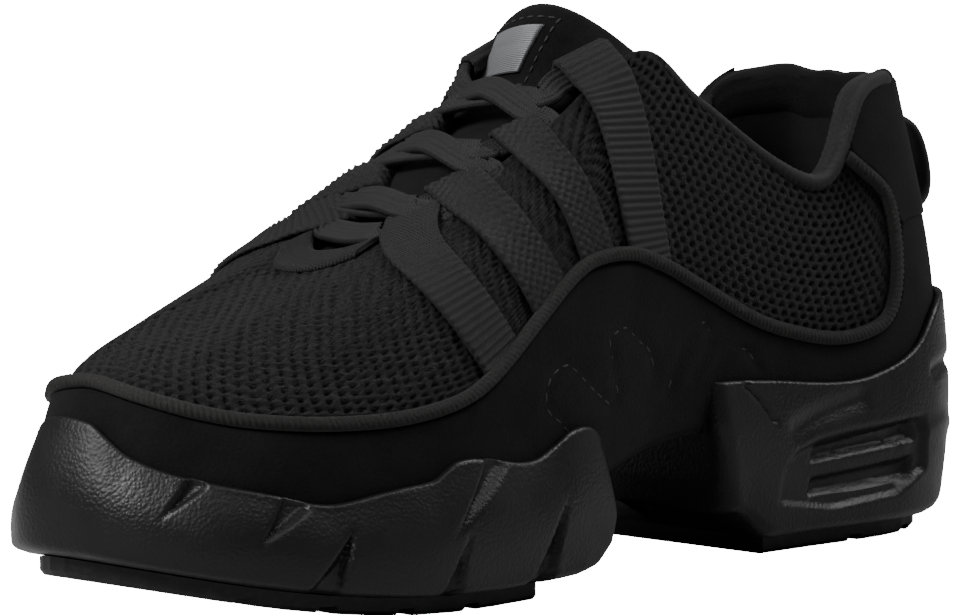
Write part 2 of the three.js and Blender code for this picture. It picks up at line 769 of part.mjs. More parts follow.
// Places across a strap at each step of its path, with the strap made wider by some spare
function strapColumns(strap, path, spare) {
  const half = (strap.width * strapWidth) / 2 + spare;
  return path.map(([s, v], k) => {
    const aside = strapTangent(path, k).cross(faceFrame(s, v).out).normalize();
    return [-1, 0, 1].map((side) => {
      const place = slide(s, v, aside, side * half);
      const floor = aboveFoxing(place[0]);
      return [place[0], k === 0 ? floor : Math.max(place[1], floor + 0.01 * k)];
    });
  });
}
function strapBlock(strap, inner, spare) {
  const columns = strapColumns(strap, strapPath(strap, inner), spare);
  const past = 0.05;
  columns.push(columns[strapSteps].map(([s, v]) => [s, v + past]));
  return patchBlock(columns, false);
}
// The room round the upper's edge that the loops keep out of
const edgeRoom = (() => {
  const [low, middle] = [levels[upperSteps - 2], levels[upperSteps - 1]];
  const column = (s, lift) => {
    const top = skin(s, 1, lift);
    const past = faceFrame(s, 1).up.setLength(gap);
    return [skin(s, low, lift), skin(s, middle, lift), top, top.clone().add(past)];
  };
  const outer = stations.map((s) => column(s, gap));
  return toSolid(sheetSolid(outer, stations.map((s) => column(s, -collarPad - wall)), true));
})();
function buildStrap(strap, ahead, inner) {
  let band = webbingShell.intersect(strapBlock(strap, inner, 0)).subtract(pipingRoom);
  band = band.add(loopOf(strap, inner, 0).subtract(edgeRoom));
  if (ahead) {
    band = band.subtract(strapBlock(ahead, inner, 5 * gap)).subtract(loopOf(ahead, inner, 3 * gap));
  }
  return largestOf(band);
}
// The hairpin loop past the throat's edge, or with some spare the room that it takes up
function loopOf(strap, inner, spare) {
  const path = strapPath(strap, inner);
  const [s, v] = path[strapSteps];
  const edge = strapColumns(strap, path, spare - loopInset)[strapSteps];
  const start = 0.2 * loopLength - 2 * spare;
  const base = [edge[0], edge[2]].map(([station, height]) => skin(station, Math.min(1, height)));
  const onward = strapTangent(path, strapSteps);
  const { out } = faceFrame(s, v);
  const bend = loopOpening / 2;
  const drop = 2 * gap - bend;
  const overlap = 2.5;
  const arc = 3;
  const turns = Array.from({ length: arc + 1 }, (_, k) => Math.PI / 2 - (Math.PI * k) / arc);
  const route = (radius) => [
    [-overlap, drop + radius],
    ...turns.map((angle) => [loopLength + radius * Math.cos(angle), drop + radius * Math.sin(angle)]),
    [start, drop - radius],
  ];
  const layer = (radius) =>
    route(radius).map(([on, up]) =>
      base.map((p) => p.clone().addScaledVector(onward, on).addScaledVector(out, up)));
  return toSolid(sheetSolid(layer(bend + webbing + spare), layer(spare > 0 ? 0.1 : bend), false));
}
for (const inner of [false, true]) {
  let before = null;
  straps.forEach((strap, i) => {
    let solid = buildStrap(strap, straps[i - 1], inner);
    if (before) {
      for (const shift of [gap, 2 * gap]) solid = solid.subtract(before.translate([-shift, 0, 0]));
      solid = largestOf(solid.subtract(before));
    }
    addPiece(`strap_${inner ? "inner" : "outer"}_${i + 1}`, fromSolid(solid), webbingWeave);
    before = solid;
  });
}

// Flat lace over the tongue: a bar between the first loops, then a crossing to each next pair
const laceLift = tongueDeep - loopOpening / 2 + laceThickness / 2;
const laceReach = 0.47;
// The loops with a little room round them, which the lace stops short of
const loopRooms = straps.flatMap((strap) => [true, false].map((inner) => loopOf(strap, inner, gap)));
const clearOfLoops = (lace) =>
  fromSolid(largestOf(loopRooms.reduce((rest, room) => rest.subtract(room), lace)));
function laceRibbon(from, to) {
  const steps = 4;
  const columns = Array.from({ length: steps + 1 }, (_, k) => {
    const t = k / steps;
    return [mix(from.station, to.station, t), mix(from.turn, to.turn, t)];
  });
  const centre = columns.map((place) => tonguePoint(...place, laceLift));
  const layer = (lift) =>
    columns.map((place, k) => {
      const out = tongueOut(...place);
      const onward = centre[Math.min(steps, k + 1)].clone().sub(centre[Math.max(0, k - 1)]);
      const aside = onward.cross(out).normalize();
      return [-1, 1].map((side) =>
        centre[k].clone().addScaledVector(aside, (side * laceWidth) / 2).addScaledVector(out, lift));
    });
  return toSolid(sheetSolid(layer(laceThickness / 2), layer(-laceThickness / 2), false));
}
function lacePlace(strap, shift, side) {
  const x = strap.throatAlong * soleLength + shift;
  return { station: stationWhere((s) => rowAt(s).topX < x, 5, 8.7), turn: side * laceReach };
}
const laceStep = laceWidth / 2 + gap;
const firstStrap = straps[0];
addPiece("lace_bar", clearOfLoops(laceRibbon(
  lacePlace(firstStrap, laceStep, 1),
  lacePlace(firstStrap, laceStep, -1),
)), webbingWeave);
straps.slice(1).forEach((next, i) => {
  const [one, other] = [1, -1].map((side) => laceRibbon(
    lacePlace(straps[i], -laceStep, side),
    lacePlace(next, laceStep, -side),
  ));
  addPiece(`lace_cross_${i + 1}`, clearOfLoops(one.add(other)), webbingWeave);
});

// Pull loop: a flat band that bows out from the back of the heel
function buildPullLoop() {
  const [low, high] = [0.58, 0.88];
  const bow = [0, 0.1, 0.75, 1, 0.75, 0.1, 0];
  const stand = cladding + gap;
  const layer = (lift) =>
    bow.map((share, k) => {
      const point = skin(0, mix(low, high, k / (bow.length - 1)), stand + lift + share * pullLoopReach);
      return [-0.5, 0.5].map((side) => point.clone().setY(point.y + side * pullLoopWidth));
    });
  return sheetSolid(layer(pullLoopThickness), layer(0), false);
}
addPiece("pull_loop", buildPullLoop(), stretchKnit);

// The origin lies under the middle of the whole shoe
const box = new THREE.Box3().setFromObject(shoe);
const middle = box.getCenter(new THREE.Vector3());
shoe.position.set(-middle.x, -middle.y, -box.min.z);

export default shoe;
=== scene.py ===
import math

import bpy
import numpy as np
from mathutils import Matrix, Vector


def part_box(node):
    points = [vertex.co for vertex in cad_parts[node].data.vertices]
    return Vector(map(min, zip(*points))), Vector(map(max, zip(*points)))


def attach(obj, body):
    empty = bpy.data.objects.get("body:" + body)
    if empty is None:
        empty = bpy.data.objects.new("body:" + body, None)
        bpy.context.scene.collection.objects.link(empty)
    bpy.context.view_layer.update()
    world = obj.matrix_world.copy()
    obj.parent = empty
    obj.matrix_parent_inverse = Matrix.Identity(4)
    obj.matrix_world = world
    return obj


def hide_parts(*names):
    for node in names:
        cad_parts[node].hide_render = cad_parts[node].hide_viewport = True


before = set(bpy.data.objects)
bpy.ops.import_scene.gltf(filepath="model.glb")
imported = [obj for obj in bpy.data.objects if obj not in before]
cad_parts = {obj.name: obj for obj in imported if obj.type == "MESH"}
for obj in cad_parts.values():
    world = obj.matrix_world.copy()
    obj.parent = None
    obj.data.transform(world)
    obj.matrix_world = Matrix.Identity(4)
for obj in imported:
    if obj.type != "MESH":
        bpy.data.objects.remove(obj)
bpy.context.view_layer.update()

MM = 0.001

# Main sizes of the shoe in millimetres, the same as the solids have
SOLE_LENGTH = 270
BALL_WIDTH = 98
HEEL_STACK = 34
BALL_STACK = 20
TOE_SPRING = 12
INSTEP_RISE = 91
COLLAR_RISE = 76
WALL = 2.4
COLLAR_PAD = 4
GAP = 0.3
SUEDE = 1.3
WEBBING = 1.3
OVERLAY = GAP + SUEDE
RIM_LIFT = OVERLAY + GAP + 2
ROWS_ROUND = 18
TOE = 9


# The shoe's surface

def ease(low, high, x):
    """0 below low, 1 above high, and smooth between."""
    t = np.clip((x - low) / (high - low), 0, 1)
    return t * t * (3 - 2 * t)


def rounded(distance, radius):
    """How far a rounded edge of that radius stands back, at a distance from the edge."""
    t = np.clip(1 - distance / radius, 0, 1)
    return radius * (1 - np.sqrt(1 - t * t))


def unit(vectors):
    return vectors / np.maximum(np.linalg.norm(vectors, axis=-1, keepdims=True), 1e-9)


def spring_at(x):
    t = np.maximum(0, x / SOLE_LENGTH - 0.7) / 0.3
    return TOE_SPRING * t * t


def bed_at(x):
    return HEEL_STACK + (BALL_STACK - HEEL_STACK) * ease(0.39, 0.68, x / SOLE_LENGTH) + spring_at(x)


# Rows from the middle of the heel to the toe tip: foot, footOut, footIn, top, topOut, topIn,
# height, swell, rise, reach, ahead and drop, as shares of the named sizes
SECTIONS = [
    [0.022, 0, 0, 0.059, 0, 0, 0.95, 0.07, 0.3, 0.06, 0, 0.4],
    [0.044, 0.205, 0.195, 0.076, 0.16, 0.155, 1.03, 0.06, 0.28, 0.06, 0, 0.38],
    [0.119, 0.316, 0.306, 0.143, 0.235, 0.235, 0.95, 0.05, 0.26, 0.06, 0, 0.3],
    [0.278, 0.33, 0.3, 0.211, 0.27, 0.265, 0.69, 0.04, 0.24, 0.05, 0, 0.24],
    [0.444, 0.35, 0.26, 0.341, 0.245, 0.24, 0.79, 0.045, 0.24, 0.08, 0.02, 0.22],
    [0.611, 0.45, 0.37, 0.407, 0.205, 0.2, 0.925, 0.045, 0.24, 0.11, 0.16, 0.27],
    [0.759, 0.465, 0.47, 0.519, 0.195, 0.195, 0.8, 0.045, 0.24, 0.19, 0.28, 0.26],
    [0.881, 0.35, 0.35, 0.637, 0.165, 0.17, 0.69, 0.05, 0.26, 0.18, 0.3, 0.22],
    [0.937, 0.17, 0.19, 0.693, 0.09, 0.1, 0.615, 0.05, 0.29, 0.17, 0.4, 0.19],
    [0.957, -0.05, 0.05, 0.711, -0.02, 0.02, 0.59, 0.056, 0.3, 0.55, 0, 0.2],
]


def ring_rows():
    """The rows in millimetres all the way round: footX, footY, top, swell, rise, reach, ahead, drop."""
    ring = []
    for k in range(ROWS_ROUND):
        side = 1 if k <= TOE else -1
        index = k if k <= TOE else ROWS_ROUND - k
        row = SECTIONS[index]
        tall = COLLAR_RISE if index < 4 else INSTEP_RISE
        foot_y, top_y = (row[1], row[4]) if side > 0 else (row[2], row[5])
        top_x = row[3] * SOLE_LENGTH
        ring.append([
            row[0] * SOLE_LENGTH, side * foot_y * BALL_WIDTH,
            top_x, side * top_y * BALL_WIDTH, bed_at(top_x) + row[6] * tall,
            row[7] * BALL_WIDTH, row[8] * tall, row[9] * BALL_WIDTH, row[10] * BALL_WIDTH,
            row[11] * tall,
        ])
    return np.array(ring)


RING = ring_rows()


def catmull_rom(p0, p1, p2, p3, t):
    bend = 2 * p0 - 5 * p1 + 4 * p2 - p3
    twist = 3 * (p1 - p2) + p3 - p0
    return p1 + 0.5 * t * (p2 - p0 + t * (bend + t * twist))


def row_at(station):
    station = np.asarray(station, float)
    base = np.floor(station).astype(int)
    t = (station - base)[..., None]
    return catmull_rom(*[RING[(base + k) % ROWS_ROUND] for k in (-1, 0, 1, 2)], t)


def outward_at(station):
    step = row_at(station + 0.05) - row_at(station - 0.05)
    return unit(np.stack([-step[..., 1], step[..., 0], np.zeros_like(step[..., 0])], -1))


def face_point(station, v):
    """Points of the upper's outer face: v is 0 at the sole and 1 at the upper edge."""
    station, v = np.broadcast_arrays(np.asarray(station, float), np.asarray(v, float))
    row = row_at(station)
    outward = outward_at(station)
    start = np.stack([row[..., 0], row[..., 1], bed_at(row[..., 0])], -1)
    end = row[..., 2:5]
    low = start + outward * row[..., 5:6]
    low[..., 2] += row[..., 6]
    high = end + outward * row[..., 7:8]
    high[..., 0] += row[..., 8]
    high[..., 2] -= row[..., 9]
    v = v[..., None]
    w = 1 - v
    return start * w**3 + 3 * low * w * w * v + 3 * high * w * v * v + end * v**3


def face_frame(station, v):
    """The directions along the stations, up the wall and out of the shoe."""
    step = 0.02
    across = (face_point(station + step, v) - face_point(station - step, v)) / (2 * step)
    up = (face_point(station, v + step) - face_point(station, v - step)) / (2 * step)
    return across, up, unit(np.cross(up, across))


def skin(station, v, lift=0.0):
    station, v, lift = np.broadcast_arrays(
        np.asarray(station, float), np.asarray(v, float), np.asarray(lift, float))
    return face_point(station, v) + face_frame(station, v)[2] * lift[..., None]


def height_to_v(station, z):
    low = np.zeros(np.broadcast(station, z).shape)
    high = low + 1
    for _ in range(24):
        middle = (low + high) / 2
        below = face_point(station, middle)[..., 2] < z
        low, high = np.where(below, middle, low), np.where(below, high, middle)
    return (low + high) / 2


def read_table(table, at):
    """A column of a table at places between its rows, along a smooth curve."""
    table = np.asarray(table, float)
    places = table[:, 0]
    last = len(places) - 1
    i = np.clip(np.searchsorted(places, at, side="left") - 1, 0, last - 1)
    t = np.clip((at - places[i]) / (places[i + 1] - places[i]), 0, 1)
    values = [table[np.clip(i + k, 0, last), 1:] for k in (-1, 0, 1, 2)]
    return catmull_rom(*values, t[..., None])


def side_value(table, station):
    station = np.mod(station, ROWS_ROUND)
    return read_table(table, np.minimum(station, ROWS_ROUND - station))[..., 0]


FOXING_LINE = [
    [0, 0.47], [1.7, 0.47], [1.85, 0.44], [2, 0.28], [2.2, 0.19], [2.45, 0.16], [2.7, 0.155],
    [3.25, 0.2], [3.6, 0.26], [4, 0.35], [4.4, 0.45], [4.7, 0.52], [5, 0.55], [5.2, 0.54],
    [5.45, 0.45], [5.6, 0.37], [5.75, 0.3], [5.95, 0.26], [6.3, 0.225], [6.8, 0.2], [7.3, 0.19],
    [7.7, 0.195], [8.1, 0.205], [8.5, 0.215], [9, 0.228],
]
TAB_LINE = [[0, 0.52], [1, 0.52], [1.6, 0.52], [1.9, 0.53], [2.1, 0.575], [2.5, 0.64]]
TAB_END = 2.45
RIM_LINE = [
    [0, 0.24], [1.2, 0.24], [1.6, 0.2], [1.95, 0.118], [2.3, 0.068], [2.6, 0.052], [3.3, 0.08],
    [3.65, 0.086], [3.8, 0.076], [4.4, 0.06], [4.62, 0.08], [4.8, 0.138], [4.97, 0.155],
    [5.1, 0.137], [5.27, 0.117], [5.7, 0.14], [5.88, 0.137], [6, 0.097], [6.25, 0.075],
    [6.64, 0.036], [7.04, 0.046], [7.6, 0.056], [8, 0.07], [8.3, 0.093], [8.55, 0.128],
    [8.7, 0.147], [9, 0.154],
]
FLARE_LINE = [
    [0, 0.05], [2, 0.045], [3, 0.04], [4, 0.05], [5, 0.06], [6, 0.06], [7, 0.075], [8, 0.095],
    [9, 0.1],
]
DENSE = np.linspace(0, ROWS_ROUND, 1801)


def line_reader(table):
    """v of a line drawn round the shoe, read from closely spaced stations."""
    z = bed_at(row_at(DENSE)[..., 0]) + side_value(table, DENSE) * INSTEP_RISE
    heights = height_to_v(DENSE, z)
    return lambda station: np.interp(np.mod(station, ROWS_ROUND), DENSE, heights)


foxing_v = line_reader(FOXING_LINE)
tab_v = line_reader(TAB_LINE)
rim_v = line_reader(RIM_LINE)


def wall_at(station, v):
    station = np.mod(station, ROWS_ROUND)
    side = np.minimum(station, ROWS_ROUND - station)
    padded = COLLAR_PAD * (1 - ease(4.2, 5.2, side))
    high = np.clip((v - 0.55) / 0.45, 0, 1)
    return WALL + padded * np.sin(np.pi * high**0.8) ** 1.2


def arch_wrap(x):
    along = x / SOLE_LENGTH
    return (WALL + GAP) * (ease(0.24, 0.27, along) - ease(0.55, 0.58, along))


def foot_edge(station, offset, drop=0.0):
    """The lower edge of what wraps the foot, dipped under the arch."""
    row = row_at(station)
    z = bed_at(row[..., 0]) - arch_wrap(row[..., 0]) - drop
    point = np.stack([row[..., 0], row[..., 1], z], -1)
    return point + outward_at(station) * np.asarray(offset, float)[..., None]


def sole_point(station, height, inset=0.0):
    """Points of the sole's side, from 0 at the foot of its wall to 1 at its rim."""
    station, height, inset = np.broadcast_arrays(
        np.asarray(station, float), np.asarray(height, float), np.asarray(inset, float))
    row = row_at(station)
    outward = outward_at(station)
    flare = side_value(FLARE_LINE, station) * BALL_WIDTH
    foot = np.stack([row[..., 0], row[..., 1], np.zeros_like(row[..., 0])], -1)
    low = foot + outward * (flare - inset)[..., None]
    low[..., 2] = spring_at(low[..., 0]) + 4 + GAP
    high = skin(station, rim_v(station), RIM_LIFT) - outward * inset[..., None]
    belly = 0.02 * BALL_WIDTH * np.sin(np.pi * height)
    return low + (high - low) * height[..., None] + outward * belly[..., None]


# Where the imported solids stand: the insole's lowest corner is at a known place on the foot bed
insole_ring = foot_edge(np.arange(48) * ROWS_ROUND / 48, -WALL - 2 * GAP)
SHIFT = np.array(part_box("insole")[0]) / MM - insole_ring.min(axis=0)
SHIFT[2] = 0


# Tongue, from the throat's edge on one side over its crown to the other

# station, edge, ahead, rise, thick
TONGUE_ROWS = [
    [4.75, 1, 0.13, 0.145, 0.05], [4.95, 1, 0.115, 0.1, 0.065], [5.2, 1, 0.08, 0.06, 0.06],
    [5.6, 1, 0.005, 0.035, 0.05], [6, 1, 0, 0.04, 0.045], [6.5, 1, 0, 0.03, 0.04],
    [7.1, 1, 0, 0, 0.035], [7.7, 1, 0, -0.01, 0.035], [8.2, 0.96, 0, -0.005, 0.03],
    [8.5, 0.9, 0, 0, 0.03],
]
TONGUE_TOP = 4.75
TONGUE_FOOT = 8.5
TONGUE_DEEP = 4.9
WING_START = 0.7
WING_DEPTH = 0.12
# The tongue's top is turned toward the outer side, wider, and a little ahead and inward
TONGUE_AXIS = 115
TONGUE_TURN = 24
TONGUE_SPREAD = 0.22
TONGUE_AHEAD = 1.5
TONGUE_INWARD = 2.5


def tongue_face(station, turn):
    """turn is 1 at the outer wing, 0 at the crown and -1 at the inner wing."""
    station, turn = np.broadcast_arrays(np.asarray(station, float), np.asarray(turn, float))
    edge, ahead, rise, _ = np.moveaxis(read_table(TONGUE_ROWS, station), -1, 0)

    def under(side, v):
        s = np.where(side < 0, ROWS_ROUND - station, station)
        return skin(s, v, -np.maximum(TONGUE_DEEP, wall_at(s, v) + 3 * GAP))

    size = np.abs(turn)
    wing = under(turn, edge - WING_DEPTH * (size - WING_START) / (1 - WING_START))
    across = np.clip(turn / WING_START, -1, 1)
    inner, outer = under(-1 + 0 * turn, edge), under(1 + 0 * turn, edge)
    crown = inner + (outer - inner) * ((across + 1) / 2)[..., None]
    bulge = (1 - across * across) * BALL_WIDTH
    crown[..., 0] += ahead * bulge
    crown[..., 2] += rise * bulge
    point = np.where((size > WING_START)[..., None], wing, crown)
    share = (1 - ease(4.9, 6.0, station)) * (1 - 0.8 * ease(0.7, 1, size))
    angle = math.radians(TONGUE_TURN) * share
    ahead, aside = point[..., 0] - TONGUE_AXIS, point[..., 1]
    spread = 1 + TONGUE_SPREAD * share
    x = TONGUE_AXIS + (ahead * np.cos(angle) - aside * np.sin(angle)) * spread
    y = (ahead * np.sin(angle) + aside * np.cos(angle)) * spread
    return np.stack([x + TONGUE_AHEAD * share, y - TONGUE_INWARD * share, point[..., 2]], -1)


def tongue_out(station, turn):
    step = 0.03
    along = tongue_face(station - step, turn) - tongue_face(station + step, turn)
    across = (tongue_face(station, np.minimum(1, turn + step))
              - tongue_face(station, np.maximum(-1, turn - step)))
    return unit(np.cross(across, along))


def tongue_point(station, turn, lift):
    station, turn, lift = np.broadcast_arrays(
        np.asarray(station, float), np.asarray(turn, float), np.asarray(lift, float))
    return tongue_face(station, turn) + tongue_out(station, turn) * lift[..., None]


# Finishes

def linear(colour):
    """An sRGB hex colour as linear values."""
    channels = [int(colour[i:i + 2], 16) / 255 for i in (1, 3, 5)]
    return [c / 12.92 if c <= 0.04045 else ((c + 0.055) / 1.055) ** 2.4 for c in channels] + [1]


def add_node(tree, kind, inputs=None, **settings):
    """Adds a node with its settings, and gives its inputs a value or a link."""
    node = tree.nodes.new(kind)
    for name, value in settings.items():
        setattr(node, name, value)
    for name, value in (inputs or {}).items():
        if isinstance(value, bpy.types.NodeSocket):
            tree.links.new(value, node.inputs[name])
        else:
            node.inputs[name].default_value = value
    return node


def start_finish(name, colour, roughness, specular=0.5, sheen=(0.0, 0.5)):
    """A material with its principled shader's own sockets set: sheen is weight and roughness."""
    material = bpy.data.materials.new(name)
    material.use_nodes = True
    shader = material.node_tree.nodes["Principled BSDF"]
    shader.inputs["Base Color"].default_value = linear(colour)
    shader.inputs["Roughness"].default_value = roughness
    shader.inputs["Specular IOR Level"].default_value = specular
    shader.inputs["Sheen Weight"].default_value = sheen[0]
    shader.inputs["Sheen Roughness"].default_value = sheen[1]
    return material, material.node_tree, shader


def wave_scale(millimetres):
    """The scale that gives a wave texture that spacing on a map in millimetres."""
    return 2 * math.pi / 20 / millimetres


def per_size(millimetres):
    """The scale that gives a pattern that size on Object coordinates."""
    return 1 / (millimetres * MM)


def add_noise(tree, vector, scale, detail=3.0, rough=0.5):
    return add_node(tree, "ShaderNodeTexNoise",
                    {"Vector": vector, "Scale": scale, "Detail": detail, "Roughness": rough})


def add_math(tree, operation, first, second=0.0):
    return add_node(tree, "ShaderNodeMath", {0: first, 1: second}, operation=operation).outputs[0]


def add_ramp(tree, value, low, high, dark, light):
    """Two colours spread over a range of values."""
    part = add_node(tree, "ShaderNodeMapRange",
                    {"Value": value, "From Min": low, "From Max": high}, clamp=True)
    mix = add_node(tree, "ShaderNodeMix", {"Factor": part.outputs["Result"]}, data_type="RGBA")
    mix.inputs[6].default_value = linear(dark)
    mix.inputs[7].default_value = linear(light)
    return mix.outputs[2]


def add_bump(tree, shader, height, depth):
    """Relief of a depth in millimetres for heights from 0 to 1."""
    bump = add_node(tree, "ShaderNodeBump",
                    {"Height": height, "Strength": 1.0, "Distance": depth * MM})
    tree.links.new(bump.outputs["Normal"], shader.inputs["Normal"])


def object_place(tree):
    return add_node(tree, "ShaderNodeTexCoord").outputs["Object"]


def cloth_place(tree):
    """The piece's own map, which is in millimetres along and across the cloth."""
    return add_node(tree, "ShaderNodeUVMap").outputs["UV"]


def suede_finish():
    # Brushed split leather: no gloss, a short nap that catches light at grazing angles, and
    # lighter and darker strokes where the nap lies in other directions
    material, tree, shader = start_finish("brushed_suede", "#0a0a0a", 0.95, 0.06, (0.02, 0.5))
    place = object_place(tree)
    strokes = add_noise(tree, place, per_size(14), 4, 0.6)
    nap = add_noise(tree, place, per_size(0.7), 4, 0.65)
    both = add_math(tree, "ADD", add_math(tree, "MULTIPLY", strokes.outputs["Fac"], 0.6),
                    add_math(tree, "MULTIPLY", nap.outputs["Fac"], 0.4))
    tree.links.new(add_ramp(tree, both, 0.35, 0.65, "#080808", "#121112"),
                   shader.inputs["Base Color"])
    add_bump(tree, shader, nap.outputs["Fac"], 0.25)
    return material


def moulded_finish():
    # Moulded polyurethane with a pebbled leather grain: a broad soft gloss broken into grains
    material, tree, shader = start_finish("moulded_polyurethane", "#0b0b0b", 0.4, 0.18)
    place = object_place(tree)
    pebbles = add_node(tree, "ShaderNodeTexVoronoi",
                       {"Vector": place, "Scale": per_size(0.8), "Randomness": 1.0},
                       feature="SMOOTH_F1")
    pebbles.inputs["Smoothness"].default_value = 0.6
    fine = add_noise(tree, place, per_size(0.5), 2, 0.5)
    patches = add_noise(tree, place, per_size(22), 3, 0.6)
    height = add_math(tree, "ADD", pebbles.outputs["Distance"],
                      add_math(tree, "MULTIPLY", fine.outputs["Fac"], 0.35))
    add_bump(tree, shader, height, -0.09)
    spread = add_node(tree, "ShaderNodeMapRange",
                      {"Value": patches.outputs["Fac"], "From Min": 0.35, "From Max": 0.65,
                       "To Min": 0.36, "To Max": 0.5})
    tree.links.new(spread.outputs["Result"], shader.inputs["Roughness"])
    return material


def tread_finish():
    # Vulcanised rubber, duller than the soles above it and scuffed pale in fine specks
    material, tree, shader = start_finish("vulcanised_rubber", "#0d0d0d", 0.6, 0.2)
    place = object_place(tree)
    specks = add_noise(tree, place, per_size(2.2), 5, 0.7)
    tree.links.new(add_ramp(tree, specks.outputs["Fac"], 0.5, 0.78, "#0b0b0b", "#1c1c1b"),
                   shader.inputs["Base Color"])
    add_bump(tree, shader, specks.outputs["Fac"], 0.15)
    return material


def holed_mesh_finish(name, along, across, dark, light):
    # Polyester sandwich mesh: matt yarn round rows of holes, with the yarn's own fine twist. The holes
    # are painted near black, partly the dark layer seen through them and partly painted shade down in
    # them.
    # The holes' spacing is the same as in the modelled dips.
    material, tree, shader = start_finish(name, light, 0.7, 0.12, (0.02, 0.4))
    uv = add_node(tree, "ShaderNodeSeparateXYZ", {"Vector": cloth_place(tree)})
    turn_u = add_math(tree, "MULTIPLY", uv.outputs["X"], 2 * math.pi / along)
    turn_v = add_math(tree, "MULTIPLY", uv.outputs["Y"], math.pi / across)
    lattice = add_math(
        tree, "ADD",
        add_math(tree, "MULTIPLY", add_math(tree, "COSINE", turn_u),
                 add_math(tree, "COSINE", turn_v)),
        add_math(tree, "MULTIPLY",
                 add_math(tree, "COSINE", add_math(tree, "MULTIPLY", turn_v, 2)), 0.5))
    # Painted shade: the holes are painted near black, partly the dark layer under them and partly shade
    # in them
    tree.links.new(add_ramp(tree, lattice, 0.1, 0.75, light, dark), shader.inputs["Base Color"])
    yarn = add_node(tree, "ShaderNodeTexWave",
                    {"Vector": cloth_place(tree), "Scale": wave_scale(0.45),
                     "Distortion": 3.0, "Detail": 2.0, "Detail Scale": 2.0},
                    bands_direction="DIAGONAL")
    add_bump(tree, shader, yarn.outputs["Fac"], 0.14)
    return material


def woven_finish(name, colour, pale, thread, depth=0.12):
    # Woven or knitted polyamide yarn: satin threads at that spacing, the colour following the relief:
    # painted shade darkens the gaps between threads, the raised threads are painted paler, and fluff
    # varies the tone at random
    material, tree, shader = start_finish(name, colour, 0.6, 0.16, (0.03, 0.35))
    uv = add_node(tree, "ShaderNodeSeparateXYZ", {"Vector": cloth_place(tree)})
    turns = [add_math(tree, "SINE", add_math(tree, "MULTIPLY", uv.outputs[axis],
                                             2 * math.pi / thread)) for axis in ("X", "Y")]
    weave = add_math(tree, "ADD", add_math(tree, "MULTIPLY", turns[0], turns[1]), 1.0)
    fluff = add_noise(tree, object_place(tree), per_size(1.2), 3, 0.6)
    height = add_math(tree, "ADD", add_math(tree, "MULTIPLY", weave, 0.5), fluff.outputs["Fac"])
    # Painted shade: darker where the relief is low in the gaps, paler on the raised threads
    tree.links.new(add_ramp(tree, height, 0.4, 1.3, colour, pale), shader.inputs["Base Color"])
    add_bump(tree, shader, height, depth)
    return material


def lining_finish():
    # Brushed stretch lining over foam: soft, matt and faintly lighter where it is stretched
    material, tree, shader = start_finish("stretch_lining", "#0e0d0e", 0.85, 0.08, (0.03, 0.5))
    place = object_place(tree)
    cloudy = add_noise(tree, place, per_size(9), 3, 0.6)
    loops = add_noise(tree, place, per_size(0.6), 3, 0.6)
    tree.links.new(add_ramp(tree, cloudy.outputs["Fac"], 0.3, 0.7, "#0b0a0b", "#131213"),
                   shader.inputs["Base Color"])
    add_bump(tree, shader, loops.outputs["Fac"], 0.16)
    return material


def label_finish():
    # Woven satin label with nothing on it: plain grey, a silky gloss along its threads
    material, tree, shader = start_finish("satin_label", "#505153", 0.45)
    uv = cloth_place(tree)
    threads = add_node(tree, "ShaderNodeTexWave",
                       {"Vector": uv, "Scale": wave_scale(0.5)}, bands_direction="Y")
    add_bump(tree, shader, threads.outputs["Fac"], 0.08)
    return material


SUEDE_LEATHER = suede_finish()
MOULDED = moulded_finish()
TREAD = tread_finish()
QUARTER_PITCH = (3.4, 2.1)
VAMP_PITCH = (3.5, 2.3)
# Mesh colours: first the holes' near black, which is partly painted shade, then the yarn
QUARTER_MESH = holed_mesh_finish("quarter_mesh", *QUARTER_PITCH, "#020202", "#0e0d0e")
VAMP_MESH = holed_mesh_finish("vamp_mesh", *VAMP_PITCH, "#030303", "#131213")
# Woven colours: the gaps' colour, darkened as painted shade, then the paler tone of raised threads
GROSGRAIN = woven_finish("grosgrain_webbing", "#080808", "#151414", 0.7)
LACE_KNIT = woven_finish("flat_lace_knit", "#0b0b0b", "#1c1b1b", 0.8)
PIPING_WRAP = woven_finish("wrapped_piping", "#0b0b0b", "#1a1918", 0.6)
KNIT_BAND = woven_finish("knitted_band", "#090909", "#131213", 0.7)
STRETCH = lining_finish()
LABEL = label_finish()
# Thread colours as well: painted shade in the gaps, paler on the raised twist
THREAD = woven_finish("sewing_thread", "#171717", "#2a2929", 0.5, 0.03)


# Meshes

def deselect():
    bpy.ops.object.select_all(action="DESELECT")


def edit_all(*steps):
    """Runs edit-mode steps on the whole of the active piece."""
    bpy.ops.object.mode_set(mode="EDIT")
    bpy.ops.mesh.select_all(action="SELECT")
    for step in steps:
        step()
    bpy.ops.object.mode_set(mode="OBJECT")


def merge():
    bpy.ops.mesh.remove_doubles(threshold=2e-6)


def fill_ends():
    bpy.ops.mesh.select_all(action="DESELECT")
    bpy.ops.mesh.select_non_manifold(extend=False, use_wire=False, use_multi_face=False,
                                     use_non_contiguous=False, use_verts=False)
    bpy.ops.mesh.fill_holes(sides=0)


def close_form():
    merge()
    fill_ends()


def modify(kind, **settings):
    """Applies one modifier to the active piece."""
    piece = bpy.context.object
    modifier = piece.modifiers.new(kind.lower(), kind)
    for name, value in settings.items():
        setattr(modifier, name, value)
    bpy.ops.object.modifier_apply(modifier=modifier.name)


